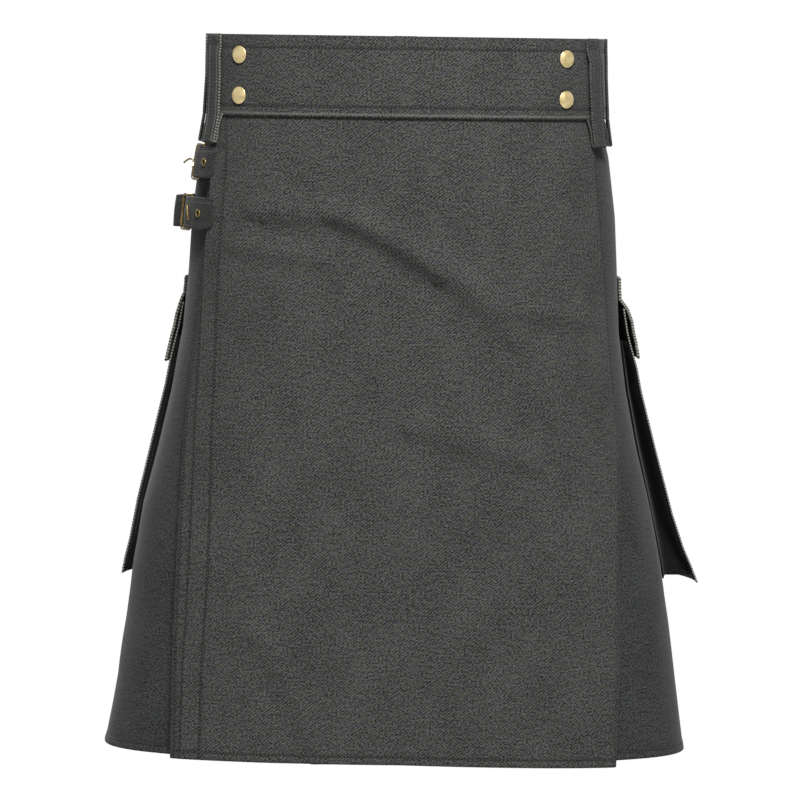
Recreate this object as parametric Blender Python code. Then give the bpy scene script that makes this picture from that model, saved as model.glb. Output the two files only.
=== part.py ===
"""Utility kilt in dark denim: a wrapped, pleated kilt filled out as it is worn.

+Z is up, -Y is the front and +X is the viewer's right. The origin is the middle of the waist
at half the waistband's height. Heights are given as a drop below the waistband's top edge.

Every cloth wall follows a plan ring that the section table gives for each drop. A place on a
ring is its distance from the front centre, and a level is how far a layer stands outside it.
"""
import math

import bmesh
import bpy
import numpy as np

MM = 0.001

LENGTH = 610 * MM
BAND_HEIGHT = 66 * MM
WAIST_TOP = BAND_HEIGHT / 2
SEWN_DOWN_TO = 250 * MM

CLOTH = 1.4 * MM
BAND_CLOTH = 2.4 * MM
SEAM_GAP = 0.3 * MM
BEND_SEAM_GAP = 0.75 * MM
LAY_GAP = 0.4 * MM

FRONT_ROUNDNESS = 2.6
BACK_ROUNDNESS = 2.25

# Plan ring at each drop: reach to the viewer's left and right, depth to the front and back, in mm.
SECTION_COLUMNS = ("drop", "left", "right", "front", "back")
SECTION_ROWS = (
    (0, 160.0, 162.5, 104.0, 110.0),
    (33, 160.0, 163.2, 106.0, 113.0),
    (66, 161.8, 165.0, 108.0, 116.0),
    (100, 171.6, 173.4, 110.0, 121.0),
    (150, 177.9, 179.6, 113.0, 127.0),
    (200, 180.6, 182.4, 115.0, 132.0),
    (250, 185.0, 185.0, 117.0, 136.0),
    (300, 192.8, 191.0, 118.0, 140.0),
    (350, 203.1, 200.0, 119.0, 144.0),
    (400, 214.4, 211.0, 119.0, 148.0),
    (450, 222.2, 220.8, 119.0, 152.0),
    (500, 226.6, 228.0, 120.0, 156.0),
    (550, 232.2, 233.4, 120.0, 160.0),
    (610, 243.0, 240.6, 121.0, 165.0),
)

# How far the three front edges lie from the middle, seen from the front, in mm.
EDGE_COLUMNS = ("drop", "right_fold", "left_fold", "free_edge")
EDGE_ROWS = (
    (0, 152.6, 157.5, 157.0),
    (66, 158.5, 160.5, 158.4),
    (95, 161.2, 162.2, 159.2),
    (176, 169.5, 168.0, 164.6),
    (250, 175.8, 173.6, 167.4),
    (340, 185.7, 182.4, 170.9),
    (446, 187.1, 186.9, 173.9),
    (528, 188.3, 189.5, 177.9),
    (610, 186.6, 189.9, 180.2),
)

# How far each pocket's front stands off its hip panel, and its flap off the same panel, in mm.
POCKET_COLUMNS = ("drop", "left_front", "right_front", "left_flap", "right_flap")
POCKET_ROWS = (
    (222.0, 2.4, 4.5, 2.8, 2.8),
    (229.5, 2.4, 5.0, 5.0, 8.0),
    (240.0, 3.4, 6.2, 7.2, 11.5),
    (258.0, 4.8, 8.3, 8.8, 13.6),
    (280.0, 6.2, 11.6, 10.0, 14.8),
    (347.0, 7.0, 16.0, 0.0, 0.0),
    (404.0, 6.6, 18.5, 0.0, 0.0),
    (434.0, 7.2, 22.5, 0.0, 0.0),
    (463.0, 9.6, 29.5, 0.0, 0.0),
)

PANEL_DROPS = tuple(drop * MM for drop in (58, 66, 100, 150, 200, 250, 320, 390, 460, 535, 610))
BAND_DROPS = (0.0, BAND_HEIGHT / 2, BAND_HEIGHT)

# How far the hem of each panel hangs above the full length, from its front end to its back end
# or from the viewer's left to right, in mm. It fades out above the knee of the cloth.
HEM_LIFTS = {
    "over_apron": (4.0, 4.0, 0.5),
    "under_apron": (3.0, 4.5, 5.0),
    "side_panel_right": (4.5, 5.5, 6.0),
    "side_panel_left": (4.5, 5.5, 6.0),
    "pleated_back": (6.0, 4.5, 6.0),
}
LIFT_FROM = 390 * MM

# Pleats: the share of the half ring at which each back fold shows, and how folds stack and open.
BACK_FOLDS = (0.76, 0.84, 0.92, 1.0)
BACK_UNDERLAP = 0.5
CENTRE_BACK_SPLIT = 0.8 * MM
SEWN_STEP = 1.9 * MM
FRONT_HEM_STEP = 5.5 * MM
BACK_HEM_STEP = 5.0 * MM
FRONT_UNDERLAP_TOP = 9 * MM
FRONT_UNDERLAP_HEM = 45 * MM

UNDER_EDGE_REACH = 145 * MM
UNDER_EDGE_LEVEL = -2.4 * MM
APRON_STEP = 5.0 * MM
HEM_ROLL = 5.0 * MM

FOLD_STEPS = 3
OVERLAP_STEPS = 3
FRONT_STEPS = 18
SIDE_STEPS = 12
BACK_FACE_STEPS = 3
RING_SAMPLES = 1440

RIGHT = "right"
LEFT = "left"

# Waistband: its middle over the panel's middle, and the columns of its length round the back.
BAND_LIFT = CLOTH / 2 + LAY_GAP + BAND_CLOTH / 2
BACK_BAND_STEPS = 84

# Belt loops: a strip sewn at the top, hung over the band, folded under at the foot.
LOOP_WIDTH = 20 * MM
LOOP_CLOTH = 1.8 * MM
LOOP_TOP = -0.6 * MM
LOOP_BOTTOM = 89.5 * MM
LOOP_LAY = 0.8 * MM
LOOP_FOLD = 0.35 * MM
LOOP_TOUCH = BAND_HEIGHT + SEAM_GAP
LOOP_LEFT_REACH = 151.5 * MM
LOOP_BEHIND_FOLD = -3 * MM
LOOP_BEFORE_LEFT_SIDE = 1 * MM
LOOP_BEHIND_RIGHT_SIDE = 6 * MM
LOOP_STAND_OFFS = {
    "belt_loop_front_left": 1.6 * MM,
    "belt_loop_front_right": 3.0 * MM,
    "belt_loop_side_left": 1.4 * MM,
    "belt_loop_side_right": 1.4 * MM,
    "belt_loop_back": 2.6 * MM,
}

# Seen from the front, the left loop hangs straighter than the flaring cloth under it.
LOOP_LEANS = {"belt_loop_front_left": (-1.7 * MM, 0.0885)}

# Snaps: how far from the middle they sit, their drops, and their turned profiles as radius, height.
SNAP_REACH = 136.5 * MM
SNAP_DROPS = (16 * MM, 50 * MM)
SNAP_SEAT = 0.75 * MM
SNAP_BACK_SEAT = 1.3 * MM
SNAP_FACE_LEVEL = 10 * MM
CAP_PROFILE = ((6.9, 0.0), (7.4, 0.7), (6.6, 1.6), (4.2, 2.4), (1.4, 2.75))
SNAP_BACK_PROFILE = ((4.8, 0.0), (4.6, 0.8), (2.4, 1.3))

# Hip straps, their buckles and eyelets.
STRAP_WIDTH = 25 * MM
STRAP_CLOTH = 2.0 * MM
STRAP_LAY = 0.8 * MM
STRAP_STEPS = 34
TAB_WIDTH = 21 * MM
TAB_CLOTH = 1.0 * MM
TAB_SEWN = 12 * MM
BUCKLE_WIRE = 1.5 * MM
BUCKLE_LENGTH = 19 * MM
BUCKLE_HEIGHT = 29 * MM
BUCKLE_CORNER = 4 * MM
PRONG_WIRE = 0.9 * MM
WIRE_GAP = 0.55 * MM
EYELET_PROFILE = ((1.6, 0.0), (3.5, 0.0), (3.0, 0.8), (2.0, 0.8))

# Each strap: its middle's drop, where its buckle's front bar lies before the outermost point of
# the side, how high that bar's strap stands off the hip, and the slack bulge just behind the bar.
STRAP_COLUMNS = ("name", "drop", "bar_before_side", "bar_lift", "bulge", "tip_past_edge", "eyelet_behind_tip")
STRAP_ROWS = (
    ("upper", 107 * MM, 26 * MM, 2.4 * MM, 0.5 * MM, 3.4 * MM, 11.0 * MM),
    ("lower", 150 * MM, 14 * MM, 5.6 * MM, 10.0 * MM, 6.0 * MM, 15.5 * MM),
)

# Each prong: distance behind the hinge bar, height over the strap's face and rise, in mm.
PRONG_ROWS = {
    "upper": ((2.5, 0.0, -4.5), (10.5, 0.4, -1.0), (19.0, 4.6, 2.0), (21.5, 9.4, -1.5)),
    "lower": ((-18.5, 0.0, -6.5), (-16.0, 0.0, -2.0), (-13.5, 0.0, 2.5), (-11.5, 0.2, 6.5)),
}

# A strap's line behind the bar, as distance from the bar and share of the bulge.
STRAP_SLACK = ((0, 0.0), (4, 0.05), (8, 0.6), (14, 1.0), (24, 0.8))
STRAP_LANDS = (42 * MM, 0.35)
STRAP_SEWN = (62 * MM, 92 * MM)

# Pockets.
POCKET_WIDTH = 150 * MM
POCKET_STEPS = 6
POCKET_LAY = 0.9 * MM
POCKET_CLOTH = 1.4 * MM
POCKET_BOTTOM = 463 * MM
POCKET_BAND = {LEFT: (207 * MM, 221.7 * MM), RIGHT: (203 * MM, 221.7 * MM)}
POCKET_SHIFT = {LEFT: 12 * MM, RIGHT: -2 * MM}
BAND_PIECE_CLOTH = 2.4 * MM
FLAP_DROPS = {
    LEFT: tuple(drop * MM for drop in (222, 229.5, 240, 258, 279)),
    RIGHT: tuple(drop * MM for drop in (222, 229.5, 240, 255, 270.5)),
}
FRONT_DROPS = tuple(drop * MM for drop in (229.5, 258, 286, 315, 347, 375, 404, 434, 463))
GUSSET_CLOTH = 1.0 * MM
GUSSET_INSET = 2.5 * MM
GUSSET_LAY = 1.3 * MM
GUSSET_FOOT_STEPS = 5


def clear_scene():
    """Remove everything that the file starts with."""
    for thing in list(bpy.data.objects):
        bpy.data.objects.remove(thing, do_unlink=True)


def material(name, colour, roughness, metallic):
    """A plain Principled material in linear colour."""
    made = bpy.data.materials.new(name)
    made.use_nodes = True
    shader = made.node_tree.nodes["Principled BSDF"]
    shader.inputs["Base Color"].default_value = (*colour, 1.0)
    shader.inputs["Roughness"].default_value = roughness
    shader.inputs["Metallic"].default_value = metallic
    made.diffuse_color = (*colour, 1.0)
    return made


def column(rows, columns, name, drop):
    """Read one named column of a table at a drop, between its rows, in metres."""
    drops = np.array([row[0] for row in rows]) * MM
    values = np.array([row[columns.index(name)] for row in rows]) * MM
    return float(np.interp(drop, drops, values))


def ease(share):
    """Smooth step from 0 to 1."""
    share = np.clip(share, 0.0, 1.0)
    return share * share * (3.0 - 2.0 * share)


class Ring:
    """The plan ring at one drop, measured by its distance from the front centre."""

    def __init__(self, drop):
        self.drop = drop
        self.height = WAIST_TOP - drop
        turn = np.linspace(-math.pi, math.pi, RING_SAMPLES + 1)
        across = np.sin(turn)
        along = np.cos(turn)
        roundness = np.where(along > 0, FRONT_ROUNDNESS, BACK_ROUNDNESS)
        reach = np.where(across > 0, self.table("right"), self.table("left"))
        depth = np.where(along > 0, self.table("front"), self.table("back"))
        self.x = reach * np.sign(across) * np.abs(across) ** (2.0 / roundness)
        self.y = -depth * np.sign(along) * np.abs(along) ** (2.0 / roundness)
        steps = np.hypot(np.diff(self.x), np.diff(self.y))
        walked = np.concatenate(([0.0], np.cumsum(steps)))
        self.place = walked - walked[RING_SAMPLES // 2]
        self.length = walked[-1]
        self.half = {LEFT: -self.place[0], RIGHT: self.place[-1]}
        even = np.linspace(self.place[0], self.place[-1], RING_SAMPLES + 1)
        even_x = np.interp(even, self.place, self.x)
        even_y = np.interp(even, self.place, self.y)
        self.place, self.x, self.y = even, even_x, even_y
        slope_x = np.gradient(self.x, self.place)
        slope_y = np.gradient(self.y, self.place)
        size = np.hypot(slope_x, slope_y)
        self.out_x = slope_y / size
        self.out_y = -slope_x / size

    def table(self, name):
        """One measure of this ring."""
        return column(SECTION_ROWS, SECTION_COLUMNS, name, self.drop)

    def at(self, place, level):
        """Plan points at some places, moved out by some levels."""
        place = np.asarray(place, dtype=float)
        look = [np.interp(place, self.place, values, period=self.length)
                for values in (self.x, self.y, self.out_x, self.out_y)]
        return look[0] + look[2] * level, look[1] + look[3] * level

    def outward(self, place):
        """Unit plan direction out of the ring at a place."""
        out_x = np.interp(place, self.place, self.out_x, period=self.length)
        out_y = np.interp(place, self.place, self.out_y, period=self.length)
        size = np.hypot(out_x, out_y)
        return out_x / size, out_y / size

    def reach_place(self, reach, level, side):
        """Distance from the front centre to where a layer seen from the front reaches so far."""
        flip = 1 if side == RIGHT else -1
        ahead = (self.place * flip >= 0) & (self.y < 0)
        distance = self.place[ahead] * flip
        seen = (self.x[ahead] + self.out_x[ahead] * level) * flip
        order = np.argsort(distance)
        return float(np.interp(reach, seen[order], distance[order]))

    def side_place(self, side):
        """Distance from the front centre to the outermost point of a side."""
        flip = 1 if side == RIGHT else -1
        return float(self.place[np.argmax(self.x * flip)] * flip)


def opening(drop, hem_step):
    """Spacing of a pleat's layers: flat where sewn down, wider towards the hem."""
    share = (drop - SEWN_DOWN_TO) / (LENGTH - SEWN_DOWN_TO)
    return SEWN_STEP + (hem_step - SEWN_STEP) * max(0.0, share) ** 0.8


class Fold:
    """One knife fold: its edge, underlap and the spacing of its three layers."""

    def __init__(self, edge, underlap, step):
        self.edge = edge
        self.underlap = underlap
        self.step = step
        self.radius = step / 2
        self.run = np.linspace(edge - underlap + self.radius, edge - self.radius, OVERLAP_STEPS + 1)

    def outer_turn(self):
        """The bend at the edge, from the outer layer to the middle one."""
        angle = np.linspace(math.pi / 2, -math.pi / 2, FOLD_STEPS + 1)[1:-1]
        places = self.edge - self.radius + self.radius * np.cos(angle)
        return places, 1.5 * self.step + self.radius * np.sin(angle)

    def inner_turn(self):
        """The hidden bend, from the middle layer to the inner one."""
        angle = np.linspace(math.pi / 2, -math.pi / 2, FOLD_STEPS + 1)[:-1]
        places = self.edge - self.underlap + self.radius - self.radius * np.cos(angle)
        return places, 0.5 * self.step + self.radius * np.sin(angle)

    def back_run(self):
        """The middle layer from the edge to just short of the hidden bend's seam."""
        places = self.run[::-1].copy()
        places[-1] += BEND_SEAM_GAP
        return places, np.full(places.shape, self.step)


def front_fold(ring, side):
    """The fold at a front edge: the over apron's at the right, the under apron's at the left."""
    step = opening(ring.drop, FRONT_HEM_STEP)
    share = ring.drop / LENGTH
    underlap = FRONT_UNDERLAP_TOP + (FRONT_UNDERLAP_HEM - FRONT_UNDERLAP_TOP) * share
    reach = column(EDGE_ROWS, EDGE_COLUMNS, side + "_fold", ring.drop)
    edge = ring.reach_place(reach, 2 * step, side)
    return Fold(edge, underlap, step)


def back_folds(ring, side):
    """The folds of one half of the back, from the hip to the centre back."""
    edges = [share * ring.half[side] for share in BACK_FOLDS]
    underlap = BACK_UNDERLAP * (edges[1] - edges[0])
    edges[-1] -= CENTRE_BACK_SPLIT
    step = opening(ring.drop, BACK_HEM_STEP)
    return [Fold(edge, underlap, step) for edge in edges]


def face_level(places, start, end, height):
    """A pleat's face climbs from under one fold to the outer layer at the next."""
    return height * ease((places - start) / (end - start))


def hip_level(ring, side, places):
    """Middle of the hip panel: it climbs from under the front fold, with one soft roll below."""
    front = front_fold(ring, side)
    back = back_folds(ring, side)[0]
    end = back.edge - back.underlap
    rise = face_level(places, front.edge, end, 2 * back.step)
    share = np.clip((places - front.edge) / (end - front.edge), 0.0, 1.0)
    roll = HEM_ROLL * max(0.0, (ring.drop - SEWN_DOWN_TO) / (LENGTH - SEWN_DOWN_TO))
    return rise + roll * np.sin(2 * math.pi * share) * np.sin(math.pi * share)


def join(*parts):
    """Chain (places, levels) runs into one."""
    places = np.concatenate([np.atleast_1d(part[0]) for part in parts])
    levels = np.concatenate([np.atleast_1d(part[1]) for part in parts])
    return places, levels


def hip_path(ring, side):
    """Hip panel: hidden bend, hidden run, face, back fold and the run back under it."""
    front = front_fold(ring, side)
    back = back_folds(ring, side)[0]
    hidden = (front.run, np.zeros(front.run.shape))
    stops = np.linspace(front.edge - front.radius, back.run[0], SIDE_STEPS + 1)[1:-1]
    face = (stops, hip_level(ring, side, stops))
    outer = (back.run, np.full(back.run.shape, 2 * back.step))
    return join(front.inner_turn(), hidden, face, outer, back.outer_turn(), back.back_run())


def half_back_path(ring, side):
    """Half of the pleated back, from the hip panel's seam to the centre back."""
    folds = back_folds(ring, side)
    parts = []
    for before, after in zip(folds, folds[1:]):
        stops = np.linspace(before.run[-1], after.run[0], BACK_FACE_STEPS + 1)[1:-1]
        rise = face_level(stops, before.edge, after.edge - after.underlap, 2 * after.step)
        parts.append(before.inner_turn())
        parts.append((before.run, np.zeros(before.run.shape)))
        parts.append((stops, rise))
        parts.append((after.run, np.full(after.run.shape, 2 * after.step)))
        parts.append(after.outer_turn())
        parts.append((after.run[:0:-1], np.full(after.run.size - 1, after.step)))
    last = folds[-1]
    parts.append(last.inner_turn())
    parts.append((last.run[:-1], np.zeros(last.run.size - 1)))
    return join(*parts)


def front_places(ring, start, end, left_knee, right_knee):
    """Places of the front columns, closer together towards the two corners."""
    share = np.linspace(0.0, 1.0, FRONT_STEPS + 1)
    share = 0.45 * share + 0.55 * (0.5 - 0.5 * np.cos(math.pi * share))
    middle = left_knee + (right_knee - left_knee) * share
    first = np.linspace(start, left_knee, OVERLAP_STEPS + 1)[:-1]
    last = np.linspace(right_knee, end, OVERLAP_STEPS + 1)[1:]
    return np.concatenate((first, middle, last))


def apron_levels(ring):
    """Levels of the two aprons at the left and right corners."""
    left = front_fold(ring, LEFT)
    right = front_fold(ring, RIGHT)
    over = (2 * left.step + APRON_STEP, 2 * right.step)
    under = (2 * left.step, UNDER_EDGE_LEVEL)
    return over, under


def slanted(places, start, end, levels):
    """A level that runs straight from one value to another, held past both ends."""
    share = np.clip((places - start) / (end - start), 0.0, 1.0)
    return levels[0] + (levels[1] - levels[0]) * share


def free_place(ring):
    """Distance from the front centre to the over apron's free edge."""
    reach = column(EDGE_ROWS, EDGE_COLUMNS, "free_edge", ring.drop)
    over = apron_levels(ring)[0]
    return ring.reach_place(reach, over[0], LEFT)


def over_front(ring):
    """The over apron from its free edge to the right fold."""
    left = front_fold(ring, LEFT)
    right = front_fold(ring, RIGHT)
    places = front_places(ring, -free_place(ring), right.run[-1], -left.run[0], right.run[0])
    levels = slanted(places, -left.run[0], right.run[0], apron_levels(ring)[0])
    return places, levels


def under_front(ring):
    """The under apron from the left fold to its hidden free edge."""
    left = front_fold(ring, LEFT)
    end = ring.reach_place(UNDER_EDGE_REACH, UNDER_EDGE_LEVEL, RIGHT)
    knee = end - FRONT_UNDERLAP_TOP
    places = front_places(ring, -left.run[-1], end, -left.run[0], knee)
    levels = slanted(places, -left.run[0], knee, apron_levels(ring)[1])
    return places, levels


def over_path(ring):
    """The over apron with its right fold and the run back under it."""
    right = front_fold(ring, RIGHT)
    return join(over_front(ring), right.outer_turn(), right.back_run())


def under_path(ring):
    """The under apron with its left fold, starting from the run under that fold."""
    left = front_fold(ring, LEFT)
    fold_places, fold_levels = join(left.outer_turn(), left.back_run())
    return join((-fold_places[::-1], fold_levels[::-1]), under_front(ring))


def back_path(ring):
    """The pleated back from the right hip to the left hip."""
    right_places, right_levels = half_back_path(ring, RIGHT)
    left_places, left_levels = half_back_path(ring, LEFT)
    return join((right_places, right_levels),
                (ring.length - left_places[::-1], left_levels[::-1]))


def right_hip_path(ring):
    """The right hip panel, front to back."""
    return hip_path(ring, RIGHT)


def left_hip_path(ring):
    """The left hip panel, front to back, on the negative side of the front centre."""
    places, levels = hip_path(ring, LEFT)
    return -places, levels


def offset_line(x, y, distance):
    """A plan line moved sideways, mitred at its bends."""
    step_x = np.diff(x)
    step_y = np.diff(y)
    size = np.hypot(step_x, step_y)
    side_x = step_y / size
    side_y = -step_x / size
    first_x = np.concatenate((side_x[:1], side_x))
    first_y = np.concatenate((side_y[:1], side_y))
    next_x = np.concatenate((side_x, side_x[-1:]))
    next_y = np.concatenate((side_y, side_y[-1:]))
    sum_x = first_x + next_x
    sum_y = first_y + next_y
    size = np.hypot(sum_x, sum_y)
    sum_x = sum_x / size
    sum_y = sum_y / size
    lean = np.maximum(sum_x * first_x + sum_y * first_y, 0.7)
    return x + sum_x * distance / lean, y + sum_y * distance / lean


def solid(name, vertices, faces, look, smooth_angle=40):
    """A closed mesh object with its faces pointing out."""
    mesh = bpy.data.meshes.new(name)
    mesh.from_pydata([tuple(v) for v in vertices], [], [tuple(f) for f in faces])
    shape = bmesh.new()
    shape.from_mesh(mesh)
    bmesh.ops.recalc_face_normals(shape, faces=shape.faces)
    bmesh.ops.triangulate(shape, faces=shape.faces)
    shape.to_mesh(mesh)
    shape.free()
    mesh.shade_smooth()
    mesh.set_sharp_from_angle(angle=math.radians(smooth_angle))
    mesh.materials.append(look)
    thing = bpy.data.objects.new(name, mesh)
    bpy.context.scene.collection.objects.link(thing)
    return thing


def block_faces(rows, columns, start=0):
    """Faces of a closed slab whose two sides are grids of points, one after the other."""
    side = rows * columns

    def point(sheet, row, col):
        return start + sheet * side + row * columns + col

    faces = []
    for row in range(rows - 1):
        for col in range(columns - 1):
            for sheet in (0, 1):
                quad = [point(sheet, row, col), point(sheet, row, col + 1),
                        point(sheet, row + 1, col + 1), point(sheet, row + 1, col)]
                faces.append(quad if sheet == 0 else quad[::-1])
    for col in range(columns - 1):
        for row in (0, rows - 1):
            quad = [point(0, row, col), point(1, row, col), point(1, row, col + 1), point(0, row, col + 1)]
            faces.append(quad if row == 0 else quad[::-1])
    for row in range(rows - 1):
        for col in (0, columns - 1):
            quad = [point(0, row, col), point(0, row + 1, col), point(1, row + 1, col), point(1, row, col)]
            faces.append(quad if col == 0 else quad[::-1])
    return faces


def wall(name, rings, path, thickness, look):
    """A cloth wall: one plan line for each ring, given a thickness and joined from ring to ring."""
    sheets = ([], [])
    lifts = np.array(HEM_LIFTS.get(name, (0.0, 0.0, 0.0))) * MM
    for ring in rings:
        places, levels = path(ring)
        x, y = ring.at(places, levels)
        share = (places - places.min()) / (places.max() - places.min())
        fade = max(0.0, (ring.drop - LIFT_FROM) / (LENGTH - LIFT_FROM))
        height = ring.height + fade * np.interp(share, (0.0, 0.5, 1.0), lifts)
        for sheet, distance in zip(sheets, (thickness / 2, -thickness / 2)):
            side_x, side_y = offset_line(x, y, distance)
            sheet.append(np.stack((side_x, side_y, height), axis=1))
    columns = len(sheets[0][0])
    vertices = np.concatenate(sheets[0] + sheets[1])
    return solid(name, vertices, block_faces(len(rings), columns), look)


def build_panels(rings, denim):
    """The cut panels of the skirt, joined at hidden bends."""
    wall("over_apron", rings, over_path, CLOTH, denim)
    wall("under_apron", rings, under_path, CLOTH, denim)
    wall("side_panel_right", rings, right_hip_path, CLOTH, denim)
    wall("side_panel_left", rings, left_hip_path, CLOTH, denim)
    wall("pleated_back", rings, back_path, CLOTH, denim)


def over_band_path(ring):
    """Waistband on the over apron."""
    places, levels = over_front(ring)
    places[-1] = front_fold(ring, RIGHT).edge
    return places, levels + BAND_LIFT


def under_band_path(ring):
    """Waistband on the under apron."""
    places, levels = under_front(ring)
    places[0] = -front_fold(ring, LEFT).edge
    return places, levels + BAND_LIFT


def back_band_path(ring):
    """Waistband round the hips and the back, over the stitched pleats."""
    start = front_fold(ring, RIGHT).edge + SEAM_GAP
    end = ring.length - front_fold(ring, LEFT).edge - SEAM_GAP
    places = np.linspace(start, end, BACK_BAND_STEPS + 1)
    return places, np.full(places.shape, 2 * SEWN_STEP + BAND_LIFT)


def build_waistband(denim):
    """The waistband in its three lengths."""
    rings = [Ring(drop) for drop in BAND_DROPS]
    wall("waistband_front", rings, over_band_path, BAND_CLOTH, denim)
    wall("waistband_under", rings, under_band_path, BAND_CLOTH, denim)
    wall("waistband_back", rings, back_band_path, BAND_CLOTH, denim)


def loop_profile(band_face, panel_face, stand_off):
    """Middle line of a belt loop as (level, drop): under the band, round the fold, up to the top."""
    inner = panel_face + LOOP_LAY + LOOP_CLOTH / 2
    outer = band_face + stand_off + LOOP_CLOTH / 2
    sewn = band_face + LAY_GAP + LOOP_CLOTH / 2
    radius = LOOP_CLOTH / 2 + LOOP_FOLD
    turn = np.linspace(0.0, math.pi, 7)
    bend_levels = inner + radius - radius * np.cos(turn)
    bend_drops = LOOP_BOTTOM - radius + radius * np.sin(turn)
    levels = np.concatenate(([inner], bend_levels, [outer, outer, sewn, sewn]))
    drops = np.concatenate(([LOOP_TOUCH], bend_drops, [64 * MM, 18 * MM, 9 * MM, LOOP_TOP]))
    return levels, drops


def ribbon(name, middle_drop, place, levels, drops, width, thickness, look):
    """A strip that runs up and down at one place, its middle line following the flaring rings."""
    shift, lean = LOOP_LEANS.get(name, (0.0, 0.0))
    side = RIGHT if place > 0 else LEFT
    middle = Ring(middle_drop)
    base_x, base_y = middle.at(place, 0.0)
    out_x, out_y = middle.outward(place)
    lift = []
    slide = []
    for level, drop in zip(levels, drops):
        ring = Ring(max(drop, 0.0))
        x, y = ring.at(place * ring.half[side] / middle.half[side], level)
        lift.append((x - base_x) * out_x + (y - base_y) * out_y)
        slide.append((y - base_y) * out_x - (x - base_x) * out_y)
    slide = np.array(slide) + shift + lean * drops
    sheets = []
    for distance in (thickness / 2, -thickness / 2):
        side_levels, side_drops = offset_line(np.array(lift), drops, distance)
        rows = []
        for across in (-width / 2, width / 2):
            x = base_x + out_x * side_levels - out_y * (across + slide)
            y = base_y + out_y * side_levels + out_x * (across + slide)
            rows.append(np.stack((x, y, WAIST_TOP - side_drops), axis=1))
        sheets.append(np.concatenate(rows))
    return solid(name, np.concatenate(sheets), block_faces(2, len(levels)), look)


def build_belt_loops(denim):
    """Five belt loops: two at the front corners, two at the sides and one behind."""
    ring = Ring(BAND_HEIGHT)
    foot = Ring(LOOP_BOTTOM)
    over_level = apron_levels(ring)[0][0]
    back_level = 2 * SEWN_STEP
    places = {
        "belt_loop_front_left": -(ring.reach_place(LOOP_LEFT_REACH, over_level, LEFT) + LOOP_WIDTH / 2),
        "belt_loop_front_right": front_fold(ring, RIGHT).edge + LOOP_BEHIND_FOLD,
        "belt_loop_side_left": -(ring.side_place(LEFT) - LOOP_BEFORE_LEFT_SIDE),
        "belt_loop_side_right": ring.side_place(RIGHT) + LOOP_BEHIND_RIGHT_SIDE,
        "belt_loop_back": ring.half[RIGHT],
    }
    for name, place in places.items():
        band = over_level if name == "belt_loop_front_left" else back_level
        panel = band
        if "side" in name:
            side = RIGHT if place > 0 else LEFT
            across = abs(place) + np.array((-0.5, 0.0, 0.5)) * LOOP_WIDTH
            panel = float(hip_level(foot, side, across).max())
        band_face = band + BAND_LIFT + BAND_CLOTH / 2
        levels, drops = loop_profile(band_face, panel + CLOTH / 2, LOOP_STAND_OFFS[name])
        ribbon(name, BAND_HEIGHT, place, levels, drops, LOOP_WIDTH, LOOP_CLOTH, denim)


def turned(name, centre, axis, profile, look, sides=12):
    """A round piece turned about an axis, from (radius, height) points in mm, closed at both ends."""
    axis = np.array(axis, dtype=float)
    axis /= np.linalg.norm(axis)
    aside = np.cross((0.0, 0.0, 1.0), axis)
    aside /= np.linalg.norm(aside)
    upward = np.cross(axis, aside)
    vertices = []
    faces = []
    turn = np.arange(sides) * 2 * math.pi / sides
    for radius, height in profile:
        circle = np.outer(np.cos(turn), aside) + np.outer(np.sin(turn), upward)
        vertices.extend(circle * radius * MM + np.array(centre) + axis * height * MM)
    for row in range(len(profile) - 1):
        for side in range(sides):
            after = (side + 1) % sides
            faces.append([row * sides + side, row * sides + after,
                          (row + 1) * sides + after, (row + 1) * sides + side])
    faces.append(list(range(sides))[::-1])
    faces.append([(len(profile) - 1) * sides + side for side in range(sides)])
    return solid(name, vertices, faces, look)


def build_snaps(brass):
    """Four snaps that close the front band on the under band: caps outside, stud backs inside."""
    number = 0
    for side, flip in ((LEFT, -1), (RIGHT, 1)):
        for drop in SNAP_DROPS:
            number += 1
            ring = Ring(drop)
            place = flip * ring.reach_place(SNAP_REACH, SNAP_FACE_LEVEL, side)
            out = np.array((*ring.outward(place), 0.0))
            over = float(np.interp(place, *over_band_path(ring))) + BAND_CLOTH / 2 + SNAP_SEAT
            under = float(np.interp(place, *under_band_path(ring))) - BAND_CLOTH / 2 - SNAP_BACK_SEAT
            cap = (*ring.at(place, over), ring.height)
            back = (*ring.at(place, under), ring.height)
            turned("snap_cap_%d" % number, cap, out, CAP_PROFILE, brass)
            turned("snap_back_%d" % number, back, -out, SNAP_BACK_PROFILE, brass)


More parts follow.
